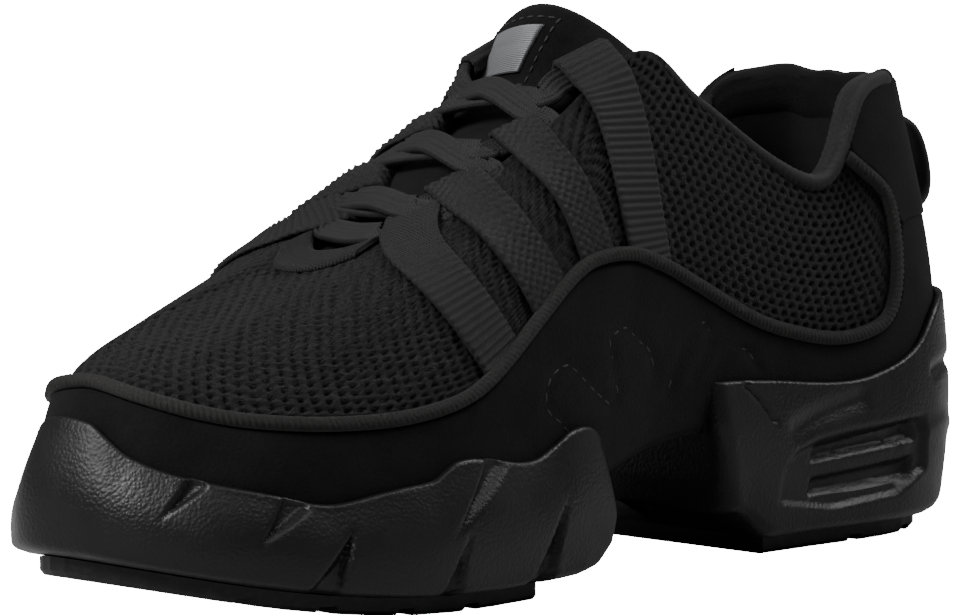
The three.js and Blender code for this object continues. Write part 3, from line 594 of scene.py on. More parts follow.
def laid_grid(name, place, columns, rows, flip=True):
    """A grid primitive with its points put in place by place(a, b) in millimetres, and a map
    that measures the cloth along and across in millimetres."""
    deselect()
    bpy.ops.mesh.primitive_grid_add(x_subdivisions=columns, y_subdivisions=rows, size=2)
    piece = bpy.context.object
    piece.name = piece.data.name = name
    mesh = piece.data
    flat = np.empty(len(mesh.vertices) * 3, np.float32)
    mesh.vertices.foreach_get("co", flat)
    flat = flat.reshape(-1, 3).astype(float)
    order = np.lexsort((flat[:, 0], flat[:, 1]))
    count = len(np.unique(np.round(flat[:, 0], 6)))
    a = ((flat[order, 0] + 1) / 2).reshape(-1, count)
    b = ((flat[order, 1] + 1) / 2).reshape(-1, count)
    points = place(a, b)
    along = np.zeros(a.shape)
    along[:, 1:] = np.cumsum(np.linalg.norm(np.diff(points, axis=1), axis=-1), axis=1)
    along -= along[:, count // 2:count // 2 + 1]
    across = np.zeros(a.shape)
    across[1:] = np.cumsum(np.linalg.norm(np.diff(points, axis=0), axis=-1), axis=0)
    placed = np.empty_like(flat)
    placed[order] = (points.reshape(-1, 3) + SHIFT) * MM
    mesh.vertices.foreach_set("co", placed.astype(np.float32).ravel())
    cloth = np.empty((len(flat), 2))
    cloth[order] = np.stack([along.ravel(), across.ravel()], -1)
    corners = np.empty(len(mesh.loops), np.int32)
    mesh.loops.foreach_get("vertex_index", corners)
    mesh.uv_layers[0].data.foreach_set("uv", cloth[corners].astype(np.float32).ravel())
    mesh.update()
    if flip:
        edit_all(bpy.ops.mesh.flip_normals)
    return piece


def dress(piece, finish, nodes=(), angle=None):
    """Gives a finished piece its material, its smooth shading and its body."""
    deselect()
    piece.select_set(True)
    bpy.context.view_layer.objects.active = piece
    if angle:
        bpy.ops.object.shade_smooth_by_angle(angle=math.radians(angle))
    else:
        bpy.ops.object.shade_smooth()
    piece.data.materials.clear()
    piece.data.materials.append(finish)
    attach(piece, "root")
    if nodes:
        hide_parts(*nodes)
    return piece


def frames_along(points, normals):
    """Unit directions across and off a path whose broad face looks along normals."""
    along = unit(np.gradient(points, axis=0))
    across = unit(np.cross(normals, along))
    return across, unit(np.cross(along, across))


def even_path(points, normals, spacing):
    """Points and normals at even spacing along a route."""
    length = np.concatenate([[0], np.cumsum(np.linalg.norm(np.diff(points, axis=0), axis=-1))])
    count = max(4, int(round(length[-1] / spacing)))
    at = np.linspace(0, length[-1], count + 1)
    even = np.stack([np.interp(at, length, points[:, k]) for k in range(3)], -1)
    faces = np.stack([np.interp(at, length, normals[:, k]) for k in range(3)], -1)
    return even, unit(faces), at


def curve_through(controls, count=24):
    """A smooth route through control points, some steps to each span."""
    controls = np.asarray(controls, float)
    padded = np.concatenate([controls[:1], controls, controls[-1:]])
    t = np.linspace(0, 1, count, endpoint=False)[:, None]
    spans = [catmull_rom(*padded[i:i + 4], t) for i in range(len(controls) - 1)]
    return np.concatenate(spans + [controls[-1:]])


def band_profile(turn, width, thickness):
    """A flat band's section with round edges: offset, height and how far each point faces up."""
    flat = np.maximum(width - thickness, 0)
    girth = 2 * flat + np.pi * thickness
    at = np.mod(turn, 1) * girth
    arc = np.pi * thickness / 2
    first = at < flat
    second = (at >= flat) & (at < flat + arc)
    third = (at >= flat + arc) & (at < 2 * flat + arc)
    bend = np.where(second, (at - flat) / arc, (at - 2 * flat - arc) / arc) * np.pi
    side = np.select([first, second, third],
                     [flat / 2 - at, -flat / 2 - thickness / 2 * np.sin(bend),
                      -flat / 2 + (at - flat - arc)], flat / 2 + thickness / 2 * np.sin(bend))
    height = np.select([first, second, third],
                       [thickness / 2 + 0 * at, thickness / 2 * np.cos(bend),
                        -thickness / 2 + 0 * at], -thickness / 2 * np.cos(bend))
    return side, height, height / (thickness / 2)


def swept_band(name, points, normals, width, thickness, spacing=0.4, around=24, relief=None,
               tuck=None):
    """A closed band along a route: width and thickness may change along it, relief(length,
    offset) stands proud of both broad faces, and tuck(share, offset) sinks it inward."""
    points, normals, length = even_path(points, normals, spacing)
    across, off = frames_along(points, normals)
    share = length / length[-1]
    wide = width(share) if callable(width) else width + 0 * share
    thick = thickness(share) if callable(thickness) else thickness + 0 * share

    def place(a, b):
        i = np.rint(a * (len(points) - 1)).astype(int)
        side, lift, facing = band_profile(b, wide[i], thick[i])
        if relief:
            lift = lift + relief(length[i], side) * facing
        if tuck:
            lift = lift - tuck(share[i], side)
        return points[i] + across[i] * side[..., None] + off[i] * lift[..., None]

    piece = laid_grid(name, place, len(points) - 1, around, flip=False)
    edit_all(close_form, lambda: bpy.ops.mesh.select_all(action="SELECT"),
             lambda: bpy.ops.mesh.normals_make_consistent(inside=False))
    return piece


def stitch_row(name, points, normals, stitch=2.6, space=1.1, radius=0.32):
    """A row of sewn stitches, one small thread form copied along a route."""
    deselect()
    bpy.ops.mesh.primitive_uv_sphere_add(segments=6, ring_count=5, radius=1)
    piece = bpy.context.object
    thread = np.array([v.co for v in piece.data.vertices])
    faces = [tuple(p.vertices) for p in piece.data.polygons]
    pitch = stitch + space
    even, faces_off, length = even_path(points, normals, pitch / 8)
    verts, polygons = [], []
    for k in range(int(length[-1] // pitch)):
        at = (k + 0.5) * pitch
        i = min(int(round(at / length[-1] * (len(even) - 1))), len(even) - 2)
        ahead = unit(even[i + 1] - even[max(0, i - 1)])
        off = unit(faces_off[i] - ahead * (faces_off[i] @ ahead))
        aside = np.cross(off, ahead)
        form = (even[i] + np.outer(thread[:, 2] * stitch / 2, ahead)
                + np.outer(thread[:, 0] * radius, off) + np.outer(thread[:, 1] * radius, aside))
        base = len(verts) * len(thread)
        verts.append(form)
        polygons += [tuple(base + c for c in face) for face in faces]
    mesh = bpy.data.meshes.new(name)
    mesh.from_pydata(((np.concatenate(verts) + SHIFT) * MM).tolist(), [], polygons)
    old = piece.data
    piece.data = mesh
    piece.name = name
    bpy.data.meshes.remove(old)
    mesh.uv_layers.new(name="UVMap")
    edit_all(lambda: bpy.ops.mesh.normals_make_consistent(inside=False))
    return dress(piece, THREAD)


# Upper shell: lining inside, a rolled collar edge, and the backing under the mesh

BACKING = -1.0
# Shares of the shell's grid, from its foot: the outer face, then the rolled edge
SHELL_FACE = 0.4
SHELL_ROLL = 0.12


def rim_shift(station):
    """How far the padded rim rises above the wall's edge, evening the dip behind the heel."""
    side = np.minimum(np.mod(station, ROWS_ROUND), ROWS_ROUND - np.mod(station, ROWS_ROUND))
    return 2.4 * (1 - ease(0.1, 0.6, side)) - 2.0 * ease(0.3, 0.8, side) * (1 - ease(1.3, 2.0, side))


def shell_place(a, b):
    station = ROWS_ROUND * a
    middle, radius = (BACKING - WALL) / 2, (WALL + BACKING) / 2
    _, up, out = face_frame(station, 1 + 0 * b)
    sunk = radius - rim_shift(station)
    top = 1 - sunk / np.linalg.norm(up, axis=-1)
    face_end, roll_end = SHELL_FACE, SHELL_FACE + SHELL_ROLL
    outer = top * np.clip(b / face_end, 0, 1)
    roll = np.clip((b - face_end) / SHELL_ROLL, 0, 1)
    inner = top * np.clip((1 - b) / (1 - roll_end), 0, 1)
    out_face = skin(station, outer, BACKING)
    low = b < 0.02
    out_face = np.where(low[..., None], foot_edge(station, BACKING), out_face)
    in_face = skin(station, inner, -wall_at(station, inner))
    in_face = np.where((b > 0.98)[..., None], foot_edge(station, -WALL), in_face)
    edge = face_point(station, 1 + 0 * b) - unit(up) * sunk[..., None]
    turn = np.pi * roll
    rolled = edge + out * (middle + radius * np.cos(turn))[..., None]
    rolled = rolled + unit(up) * (radius * np.sin(turn))[..., None]
    return np.where((b < face_end)[..., None], out_face,
                    np.where((b < roll_end)[..., None], rolled, in_face))


def bridge_rims():
    merge()
    bpy.ops.mesh.select_all(action="DESELECT")
    bpy.ops.mesh.select_non_manifold(extend=False, use_wire=False, use_multi_face=False,
                                     use_non_contiguous=False, use_verts=False)
    bpy.ops.mesh.bridge_edge_loops()


shell = laid_grid("upper_shell", shell_place, 216, 75)
edit_all(bridge_rims)
dress(shell, STRETCH, ["upper"])


# Mesh panels over the backing

def hole_lattice(along, across, pitch):
    turn_u = 2 * np.pi * along / pitch[0]
    turn_v = np.pi * across / pitch[1]
    return np.cos(turn_u) * np.cos(turn_v) + 0.5 * np.cos(2 * turn_v)


def mesh_panel(name, first, last, finish, pitch, columns, rows, depth):
    """A panel of holed mesh between two stations, its holes sunk into the cloth."""
    def flat_place(a, b):
        station = first + (last - first) * a
        low = np.maximum(0.02, foxing_v(station) - 0.05)
        return station, low + (1 - low) * b

    a, b = np.meshgrid(np.linspace(0, 1, columns + 1), np.linspace(0, 1, rows + 1))
    face = face_point(*flat_place(a, b))
    along = np.zeros(a.shape)
    along[:, 1:] = np.cumsum(np.linalg.norm(np.diff(face, axis=1), axis=-1), axis=1)
    middle = columns // 2
    along -= along[:, middle:middle + 1]
    across = np.zeros(a.shape)
    across[1:] = np.cumsum(np.linalg.norm(np.diff(face, axis=0), axis=-1), axis=0)
    dips = ease(0.15, 0.9, hole_lattice(along, across, pitch)) * depth

    def place(a, b):
        i = np.rint(b * rows).astype(int)
        j = np.rint(a * columns).astype(int)
        station, v = flat_place(a, b)
        border = np.minimum(b * rows, (1 - b) * rows) / 4
        return skin(station, v, 0.25 - dips[i, j] * np.clip(border, 0, 1))

    piece = laid_grid(name, place, columns, rows)
    modify("SOLIDIFY", thickness=0.3 * MM, offset=-1.0)
    return dress(piece, finish)


for name, first, last in (("quarter_mesh_outer", 1.7, 5.45), ("quarter_mesh_inner", 12.55, 16.3)):
    mesh_panel(name, first, last, QUARTER_MESH, QUARTER_PITCH, 256, 88, 1.0)
mesh_panel("vamp_mesh", 5.35, 12.65, VAMP_MESH, VAMP_PITCH, 336, 112, 0.95)


# Foxing: suede round the whole foot, puffed between the stitches of four flutes at the arch

# Each flute as places on the wall: station and v
FLUTES = [
    [(4.92, 0.17), (5.03, 0.21), (5.17, 0.25), (5.23, 0.29), (5.22, 0.33), (5.11, 0.34),
     (5.01, 0.32), (4.84, 0.27), (4.67, 0.22), (4.54, 0.18)],
    [(4.50, 0.2), (4.7, 0.33), (4.73, 0.36), (4.61, 0.37), (4.5, 0.345), (4.41, 0.32),
     (4.27, 0.28), (4.16, 0.21)],
    [(3.98, 0.13), (3.95, 0.25), (3.9, 0.29), (3.81, 0.33), (3.74, 0.28), (3.77, 0.15)],
    [(3.63, 0.16), (3.58, 0.22), (3.51, 0.255), (3.4, 0.25), (3.28, 0.18)],
]


# About how many millimetres a station and the whole wall measure beside the arch
STATION_SIZE = 36
WALL_SIZE = 75


def flute_puff(station, v):
    """Raised inside each flute's outline and drawn down along its stitches."""
    side = np.minimum(station, ROWS_ROUND - station)
    lift = np.zeros(np.broadcast(station, v).shape)
    for flute in FLUTES:
        line = curve_through([(s, w, 0) for s, w in flute], 8)
        du = (side[..., None] - line[:, 0]) * STATION_SIZE
        dv = (v[..., None] - line[:, 1]) * WALL_SIZE
        near = np.sqrt((du**2 + dv**2).min(axis=-1))
        lift -= 0.45 * np.exp(-(near / 1.1) ** 2)
        middle = line.mean(axis=0)
        reach = np.hypot((side - middle[0]) * STATION_SIZE / 9, (v - middle[1]) * WALL_SIZE / 8)
        lift += 0.35 * np.exp(-reach**2)
    return lift


def foxing_place(a, b):
    station = ROWS_ROUND * a
    top = foxing_v(station)
    rise = np.clip((b - 0.1) / 0.9, 0, 1)
    v = rise * top
    _, up, _ = face_frame(station, v)
    edge = (top - v) * np.linalg.norm(up, axis=-1)
    side = np.minimum(station, ROWS_ROUND - station)
    near_arch = (side > 3) & (side < 5.6)
    lift = OVERLAY - rounded(edge, 1.2) * 0.9
    lift = lift + np.where(near_arch, flute_puff(station, v), 0)
    wall = skin(station, v, lift)
    under = foot_edge(station, OVERLAY - 6 * (1 - np.clip(b / 0.1, 0, 1)), 0.6)
    blend = np.where(b < 0.1, 0, ease(0.05, 0.14, b))[..., None]
    return under + (wall - under) * blend


foxing = laid_grid("foxing_suede", foxing_place, 420, 38)
edit_all(merge)
modify("SOLIDIFY", thickness=1.1 * MM, offset=-1.0)
dress(foxing, SUEDE_LEATHER, ["foxing"])

for number, flute in enumerate(FLUTES, 1):
    for side, mirror in (("outer", False), ("inner", True)):
        route = curve_through([(s, w, 0) for s, w in flute], 12)
        stations = ROWS_ROUND - route[:, 0] if mirror else route[:, 0]
        outs = face_frame(stations, route[:, 1])[2]
        stitch_row(f"flute_stitches_{side}_{number}",
                   skin(stations, route[:, 1], OVERLAY - 0.3), outs, 2.4, 1.2, 0.3)


# Piping round the foxing's edge: a cord wrapped in ribbed tape

def piping_route():
    side = [(s, tab_v(s)) for s in np.arange(TAB_END, 1.92, -0.05)]
    high, low = tab_v(1.9), foxing_v(2.02)
    side += [(1.9 + 0.02 * k - 0.02, high + (low - high) * k / 5) for k in range(5)]
    side += [(s, foxing_v(s)) for s in np.arange(2.06, TOE, 0.05)]
    route = side + [(TOE, foxing_v(TOE))] + [(ROWS_ROUND - s, v) for s, v in reversed(side)]
    stations, heights = np.array(route, float).T
    line = skin(stations, heights, 0)
    out = face_frame(stations, heights)[2]
    aside = unit(np.cross(np.gradient(line, axis=0), out))
    points = skin(stations, heights, 1.5 + 0.3) + aside * 1.4
    for _ in range(6):
        points[1:-1] = (points[:-2] + 2 * points[1:-1] + points[2:]) / 4
    return points, out


points, normals = piping_route()
dress(swept_band("piping_cord", points, normals, 3.3, 3.1, spacing=0.32, around=12,
                 relief=lambda length, side: 0.24 * np.sin(2 * np.pi * (length + 0.5 * side) / 1.35)),
      PIPING_WRAP, ["piping"])


# Heel tab: smooth cloth that rolls over the back of the collar

# Shares of the tab's grid, from its foot: the outer face, then the rolled edge
TAB_FACE = 0.62
TAB_ROLL = 0.16
TAB_PAD = 0.8


def tab_place(a, b):
    station = (2 * a - 1) * TAB_END
    behind = 1 - ease(1.82, 1.95, np.abs(station))
    low = tab_v(station) + (foxing_v(station) - 0.03 - tab_v(station)) * behind
    narrowed = 1.2 * (1 - ease(0, 0.2, TAB_END - np.abs(station)))
    middle, radius = (OVERLAY - WALL - TAB_PAD) / 2, (OVERLAY + WALL + TAB_PAD) / 2 - narrowed
    _, up, out = face_frame(station, 1 + 0 * a)
    sunk = radius - rim_shift(station)
    top = 1 - sunk / np.linalg.norm(up, axis=-1)
    rise = np.clip(b / TAB_FACE, 0, 1)
    v = low + (top - low) * rise
    side_edge = (TAB_END - np.abs(station)) * 30
    lift = OVERLAY + 0.5 - rounded(np.minimum(side_edge, (v - low) * 90), 1.6)
    face = skin(station, v, lift)
    roll_end = TAB_FACE + TAB_ROLL
    turn = np.pi * np.clip((b - TAB_FACE) / TAB_ROLL, 0, 1)
    edge = face_point(station, 1 + 0 * a) - unit(up) * sunk[..., None]
    rolled = edge + out * (middle + radius * np.cos(turn))[..., None]
    rolled = rolled + unit(up) * (radius * np.sin(turn))[..., None]
    tucked = 2.0 * ease(0.88, 1, b) + 2 * narrowed
    inside = top - 0.14 * np.clip((b - roll_end) / (1 - roll_end), 0, 1)
    in_face = skin(station, inside, -wall_at(station, inside) - TAB_PAD + tucked)
    return np.where((b < TAB_FACE)[..., None], face,
                    np.where((b < roll_end)[..., None], rolled, in_face))


tab = laid_grid("heel_tab_cloth", tab_place, 110, 50)
modify("SOLIDIFY", thickness=0.9 * MM, offset=-1.0)
dress(tab, SUEDE_LEATHER, ["heel_tab"])


# Collar binding: a rolled strip on the rim beside the heel tab, narrowing forward

def knob_share(side):
    """The inner rim is smooth, and the outer one knobbly low on the collar."""
    return 0.24 if side == "outer" else 0.03


for side, mirror in (("outer", False), ("inner", True)):
    stations = np.linspace(2.1 if mirror else 1.05, 4.6, 160)
    turned = ROWS_ROUND - stations if mirror else stations
    _, up, out = face_frame(turned, 1 + 0 * stations)
    edge = skin(turned, 1 + 0 * stations, -WALL / 2)
    sunk = 1.6 - rim_shift(turned) + 2.4 * (1 - ease(1.05, 1.55, stations))
    edge = edge - unit(up) * sunk[:, None]
    dress(swept_band(
        f"collar_binding_{side}", edge + unit(up) * 0.4, unit(up),
        lambda t: (7.6 - 3.8 * ease(0.35, 0.75, t)) * (0.45 + 0.55 * ease(0, 0.07, t)),
        lambda t: (4.0 - 1.0 * ease(0.4, 0.8, t)) * (0.3 + 0.7 * ease(0, 0.07, t)),
        spacing=0.5, around=32,
        relief=lambda length, offset, share=knob_share(side): share * ease(16, 24, length)
        * np.sin(2 * np.pi * length / 1.9) * np.cos(2 * np.pi * offset / 2.1)),
        KNIT_BAND if side == "outer" else STRETCH)


# Soles: grained moulded pods with soft recesses

HEEL_FRONT = [[0, 93.0], [5.4, 96.0], [13.6, 98.6], [30.6, 102.0], [102, 102.0]]
FOREFOOT_REAR = [
    [0, 170.0], [2.7, 165.0], [4.4, 156.6], [6.8, 148.0], [10.9, 143.1], [17, 141.5], [28.9, 144.5],
    [40.8, 148.0], [102, 148.0],
]
RIM_LENGTH = np.concatenate([[0], np.cumsum(np.linalg.norm(
    np.diff(sole_point(DENSE, 0.5 + 0 * DENSE), axis=0), axis=-1))])


def along_rim(station):
    return np.interp(np.mod(station, ROWS_ROUND), DENSE, RIM_LENGTH)


def wall_plan(station, height):
    """Places on a sole's side in millimetres, along and up."""
    tall = sole_point(station, 1.0 + 0 * height)[..., 2] - 4
    return along_rim(station), height * tall


def polygon_mask(corners, along, up, soft):
    """1 inside a convex outline of places on the sole's side, and 0 outside a soft edge."""
    stations, heights = np.array(corners, float).T
    u, w = wall_plan(stations, heights)
    turning = np.sum(u * np.roll(w, -1) - np.roll(u, -1) * w)
    if turning < 0:
        u, w = u[::-1], w[::-1]
    inside = np.full(along.shape, np.inf)
    for k in range(len(u)):
        du, dw = np.roll(u, -1)[k] - u[k], np.roll(w, -1)[k] - w[k]
        size = math.hypot(du, dw)
        inside = np.minimum(inside, (du * (up - w[k]) - dw * (along - u[k])) / size)
    return ease(-soft / 2, soft / 2, inside)


def line_mask(line, along, up, width):
    """1 on a line of places on the sole's side, fading to 0 at its width."""
    stations, heights = np.array(line, float).T
    u, w = wall_plan(stations, heights)
    route = curve_through(np.stack([u, w, 0 * u], -1), 10)
    near = np.full(along.shape, np.inf)
    for p, q in zip(route[:-1], route[1:]):
        span = q - p
        t = np.clip(((along - p[0]) * span[0] + (up - p[1]) * span[1]) / (span @ span), 0, 1)
        near = np.minimum(near, np.hypot(along - p[0] - t * span[0], up - p[1] - t * span[1]))
    return np.exp(-(near / width) ** 2)


FOREFOOT_CUTS = [
    ([(7.66, 1.1), (7.83, 0.66), (7.47, 1.1)], 1.8),
    ([(6.92, 1.1), (7.08, 0.55), (6.72, 1.1)], 1.8),
    ([(5.62, 1.1), (5.85, 0.56), (5.45, 1.1)], 1.8),
    ([(6.53, 0.67), (6.87, -0.2), (6.62, -0.2)], 2.4),
    ([(5.82, 0.38), (5.98, -0.2), (5.84, -0.2)], 2.2),
    ([(5.07, 0.52), (5.32, -0.1), (5.12, -0.1)], 2.4),
]


def forefoot_relief(side, height):
    along, up = wall_plan(side, height)
    inset = np.zeros(along.shape)
    for corners, depth in FOREFOOT_CUTS:
        inset = inset + depth * polygon_mask(corners, along, up, 2.0)
    return inset


def heel_relief(side, height):
    along, up = wall_plan(side, height)
    window = [(3.12, 0.24), (3.1, 0.45), (3.01, 0.56), (2.84, 0.63), (2.61, 0.68), (2.21, 0.66),
              (1.95, 0.6), (1.9, 0.3), (2.2, 0.2), (2.7, 0.17)]
    inset = 1.9 * polygon_mask(window, along, up, 2.6)
    inset = inset + 2.2 * polygon_mask([(2.86, 0.5), (2.82, 0.6), (2.06, 0.62), (2.02, 0.5)],
                                       along, up, 2.2)
    inset = inset + 2.2 * polygon_mask([(2.86, 0.27), (2.84, 0.37), (2.02, 0.38), (2.06, 0.27)],
                                       along, up, 2.2)
    inset = inset + 1.1 * line_mask([(1.75, 0.78), (1.4, 0.72), (0.6, 0.66), (0, 0.65)],
                                    along, up, 1.6)
    inset = inset + 1.1 * line_mask([(3.4, 0.99), (3.3, 0.89), (3.2, 0.77)], along, up, 0.7)
    inset = inset - 0.5 * line_mask([(2.11, 0.5), (1.87, 0.5), (1.5, 0.45), (1.27, 0.41)],
                                    along, up, 2.0)
    inset = inset + 0.8 * line_mask([(3.02, 0.72), (2.8, 0.82), (2.5, 0.9)], along, up, 2.5)
    return inset


def cut_station(height, table, low, high, inner):
    """The station where the sole's side meets the cut across the shoe."""
    low, high = low + 0 * height, high + 0 * height
    for _ in range(24):
        middle = (low + high) / 2
        point = sole_point(ROWS_ROUND - middle if inner else middle, height)
        limit = np.interp(point[..., 2], *np.array(table).T)
        short = point[..., 0] < limit
        low, high = np.where(short, middle, low), np.where(short, high, middle)
    return (low + high) / 2


# Share of a pod's grid that each half of its cut face takes
CUT_SHARE = 0.04


def front_lift(x):
    """The heel pod's underside rises in front of its tread."""
    return 7 * ease(80, 94, x) * (1 - ease(110, 120, x))


def sole_pod(name, table, from_toe, relief, columns, rows, low, high):
    """A pod's side, rim and underside in one closed skin. Its cut end is rounded over."""
    heights = np.linspace(0, 1, 81)
    outer = cut_station(heights, table, low, high, False)
    inner = cut_station(heights, table, low, high, True)

    def skin_place(a, b):
        rise = np.clip((b - 0.1) / 0.62, 0, 1)
        start = np.interp(rise, heights, outer)
        end = np.interp(rise, heights, ROWS_ROUND - inner if from_toe else -inner)
        station = start + (end - start) * a
        limit = np.interp(sole_point(station, rise)[..., 2], *np.array(table).T)
        depth = np.abs(sole_point(station, rise)[..., 0] - limit)
        wrapped = np.mod(station, ROWS_ROUND)
        side = np.minimum(wrapped, ROWS_ROUND - wrapped)
        inset = rounded(depth, 4.0) + relief(side, rise)
        inset = inset + rounded(rise * 40, 3.5)
        wall = sole_point(station, rise, inset)
        wall[..., 2] += front_lift(wall[..., 0]) * (1 - rise)
        rim_turn = np.pi * np.clip((b - 0.72) / 0.08, 0, 1)
        _, up, out = face_frame(station, rim_v(station))
        rim_middle = skin(station, rim_v(station), RIM_LIFT - 1.1)
        rim = rim_middle + out * (1.1 * np.cos(rim_turn))[..., None]
        rim = rim + unit(up) * (1.0 * np.sin(rim_turn))[..., None]
        rim = rim - outward_at(station) * inset[..., None] * (1 - rim_turn / np.pi)[..., None]
        inner_v = rim_v(station) * (1 - np.clip((b - 0.8) / 0.06, 0, 1))
        in_wall = skin(station, inner_v, OVERLAY + 0.1)
        bed = foot_edge(station, OVERLAY, 0.9)
        to_middle = np.clip((b - 0.88) / 0.12, 0, 1)
        bed[..., 1] *= 1 - to_middle
        base = sole_point(station, 0 * rise, inset)
        base[..., 2] += front_lift(base[..., 0])
        base[..., 1] *= np.clip(b / 0.1, 0, 1)
        return np.select(
            [(b < 0.1)[..., None], (b <= 0.72)[..., None], (b < 0.8)[..., None],
             (b < 0.87)[..., None]],
            [base, wall, rim, in_wall], bed)

    def place(a, b):
        """The skin, and at each end the half of the cut face that reaches the middle."""
        wall = skin_place(np.clip((a - CUT_SHARE) / (1 - 2 * CUT_SHARE), 0, 1), b)
        middle = (skin_place(0 * b, b) + skin_place(0 * b + 1, b)) / 2
        share = np.clip(1 - np.minimum(a, 1 - a) / CUT_SHARE, 0, 1)[..., None]
        return wall + (middle - wall) * share

    piece = laid_grid(name, place, columns, rows, flip=False)
    edit_all(close_form, lambda: bpy.ops.mesh.select_all(action="SELECT"),
             lambda: bpy.ops.mesh.normals_make_consistent(inside=False))
    return piece


heel_pod = sole_pod("heel_pod", HEEL_FRONT, False, heel_relief, 400, 88, 0.3, 5.0)
dress(heel_pod, MOULDED, ["heel_sole"], 40)
forefoot_pod = sole_pod("forefoot_pod", FOREFOOT_REAR, True, forefoot_relief, 500, 70, 3.5, 7.0)
dress(forefoot_pod, MOULDED, ["forefoot_sole"], 40)


# Tongue: a padded suede-faced form with a rolled top

# How far the tongue's lower part stands up between the laces
TONGUE_SWELL = 2.6


def tongue_place(a, b):
    turn = 2 * a - 1
    outer_side = b < 0.5
    share = np.where(outer_side, 1 - 2 * b, 2 * b - 1)
    station = TONGUE_TOP + (TONGUE_FOOT - TONGUE_TOP) * share
    thick = read_table(TONGUE_ROWS, station)[..., 3] * BALL_WIDTH * (1 - 0.6 * turn * turn)
    top_edge = 1 - rounded((station - TONGUE_TOP) * 24, 5.0) / 5.0
    side_edge = 1 - rounded((1 - np.abs(turn)) * 30, 3.0) / 3.0
    plump = thick * top_edge * side_edge
    lift = np.where(outer_side, 0.0, -plump) - thick * 0.5 * (1 - top_edge)
    lift = lift + TONGUE_SWELL * ease(5.9, 6.6, station) * (1 - ease(0.4, 0.72, np.abs(turn)))
    return tongue_point(station, turn, lift)


tongue = laid_grid("tongue_pad", tongue_place, 90, 150)
edit_all(merge, lambda: bpy.ops.mesh.select_all(action="SELECT"),
         lambda: bpy.ops.mesh.normals_make_consistent(inside=False))
dress(tongue, SUEDE_LEATHER, ["tongue"])


# Label: a bare woven patch in a stitched frame

def label_place(a, b):
    station = 5.04 + 0.42 * b
    turn = -0.44 + 0.5 * a - 0.2 * b
    edge = np.minimum(np.minimum(a, 1 - a) * 12, np.minimum(b, 1 - b) * 18)
    return tongue_point(station, turn, 0.75 - rounded(edge, 0.6))


label = laid_grid("label_patch", label_place, 24, 36)
modify("SOLIDIFY", thickness=0.5 * MM, offset=-1.0)
edit_all(lambda: bpy.ops.mesh.normals_make_consistent(inside=False))
dress(label, LABEL, ["tongue_label"])

frame_corners = [(4.96, -0.5), (4.96, 0.17), (5.56, -0.07), (5.56, -0.74), (4.96, -0.5)]
label_frame = np.concatenate([
    np.linspace(p, q, 20, endpoint=False) for p, q in zip(frame_corners[:-1], frame_corners[1:])])
stitch_row("label_stitches", tongue_point(label_frame[:, 0], label_frame[:, 1], 0.1),
           tongue_out(label_frame[:, 0], label_frame[:, 1]), 1.8, 0.8, 0.3)


# Throat band: ribbed knit round the front of the throat

def throat_place(a, b):
    station = 7.75 + 2.5 * a
    _, up, _ = face_frame(station, 1 + 0 * a)
    v = 1 - 7.5 / np.linalg.norm(up, axis=-1) * (1 - b) + 0.02 * b
    edge = np.minimum(b, 1 - b) * 7.5
    rib = 0.16 * np.sin(2 * np.pi * a * 40)
    return skin(station, v, OVERLAY + 0.2 - rounded(edge, 1.6) * 0.8 + rib)


band = laid_grid("throat_knit", throat_place, 200, 14)
modify("SOLIDIFY", thickness=1.0 * MM, offset=-1.0)
dress(band, KNIT_BAND, ["throat_band"])


# Straps of webbing whose hairpin loops carry the lace

STRAPS = [(0.655, 0.655, 0.8), (0.587, 0.604, 0.8), (0.52, 0.534, 0.68), (0.452, 0.452, 0.85)]
STRAP_WIDTH = 17
LOOP_RADIUS = 2.15
LOOP_LENGTH = 6.0
# The top inner strap ends a little lower than the others
SHORT_END = 0.92


def station_where(values, stations, target):
    """The station on a falling or rising run where the value passes the target."""
    order = np.argsort(values)
    return float(np.interp(target, values[order], stations[order]))


def strap_ends(foot_along, throat_along):
    low_run = np.linspace(3, 8, 400)
    high_run = np.linspace(5, 8.5, 400)
    low = station_where(skin(low_run, foxing_v(low_run))[:, 0], low_run, foot_along * SOLE_LENGTH)
    high = station_where(row_at(high_run)[:, 2], high_run, throat_along * SOLE_LENGTH)
    return low, high


def rib_relief(length, offset):
    return 0.3 * np.sin(2 * np.pi * length / 1.8)


def knob_relief(length, offset):
    return 0.42 * np.sin(2 * np.pi * length / 2.3) * np.sin(2 * np.pi * offset / 2.7)


def slide(station, v, direction, distance):
    """The place reached by moving along the face from a place by a distance."""
    across, up, _ = face_frame(station, v)
    aa, au, uu = [(p * q).sum(-1) for p, q in ((across, across), (across, up), (up, up))]
    a, u = (direction * across).sum(-1) * distance, (direction * up).sum(-1) * distance
    size = aa * uu - au * au
    return station + (a * uu - u * au) / size, v + (u * aa - a * au) / size


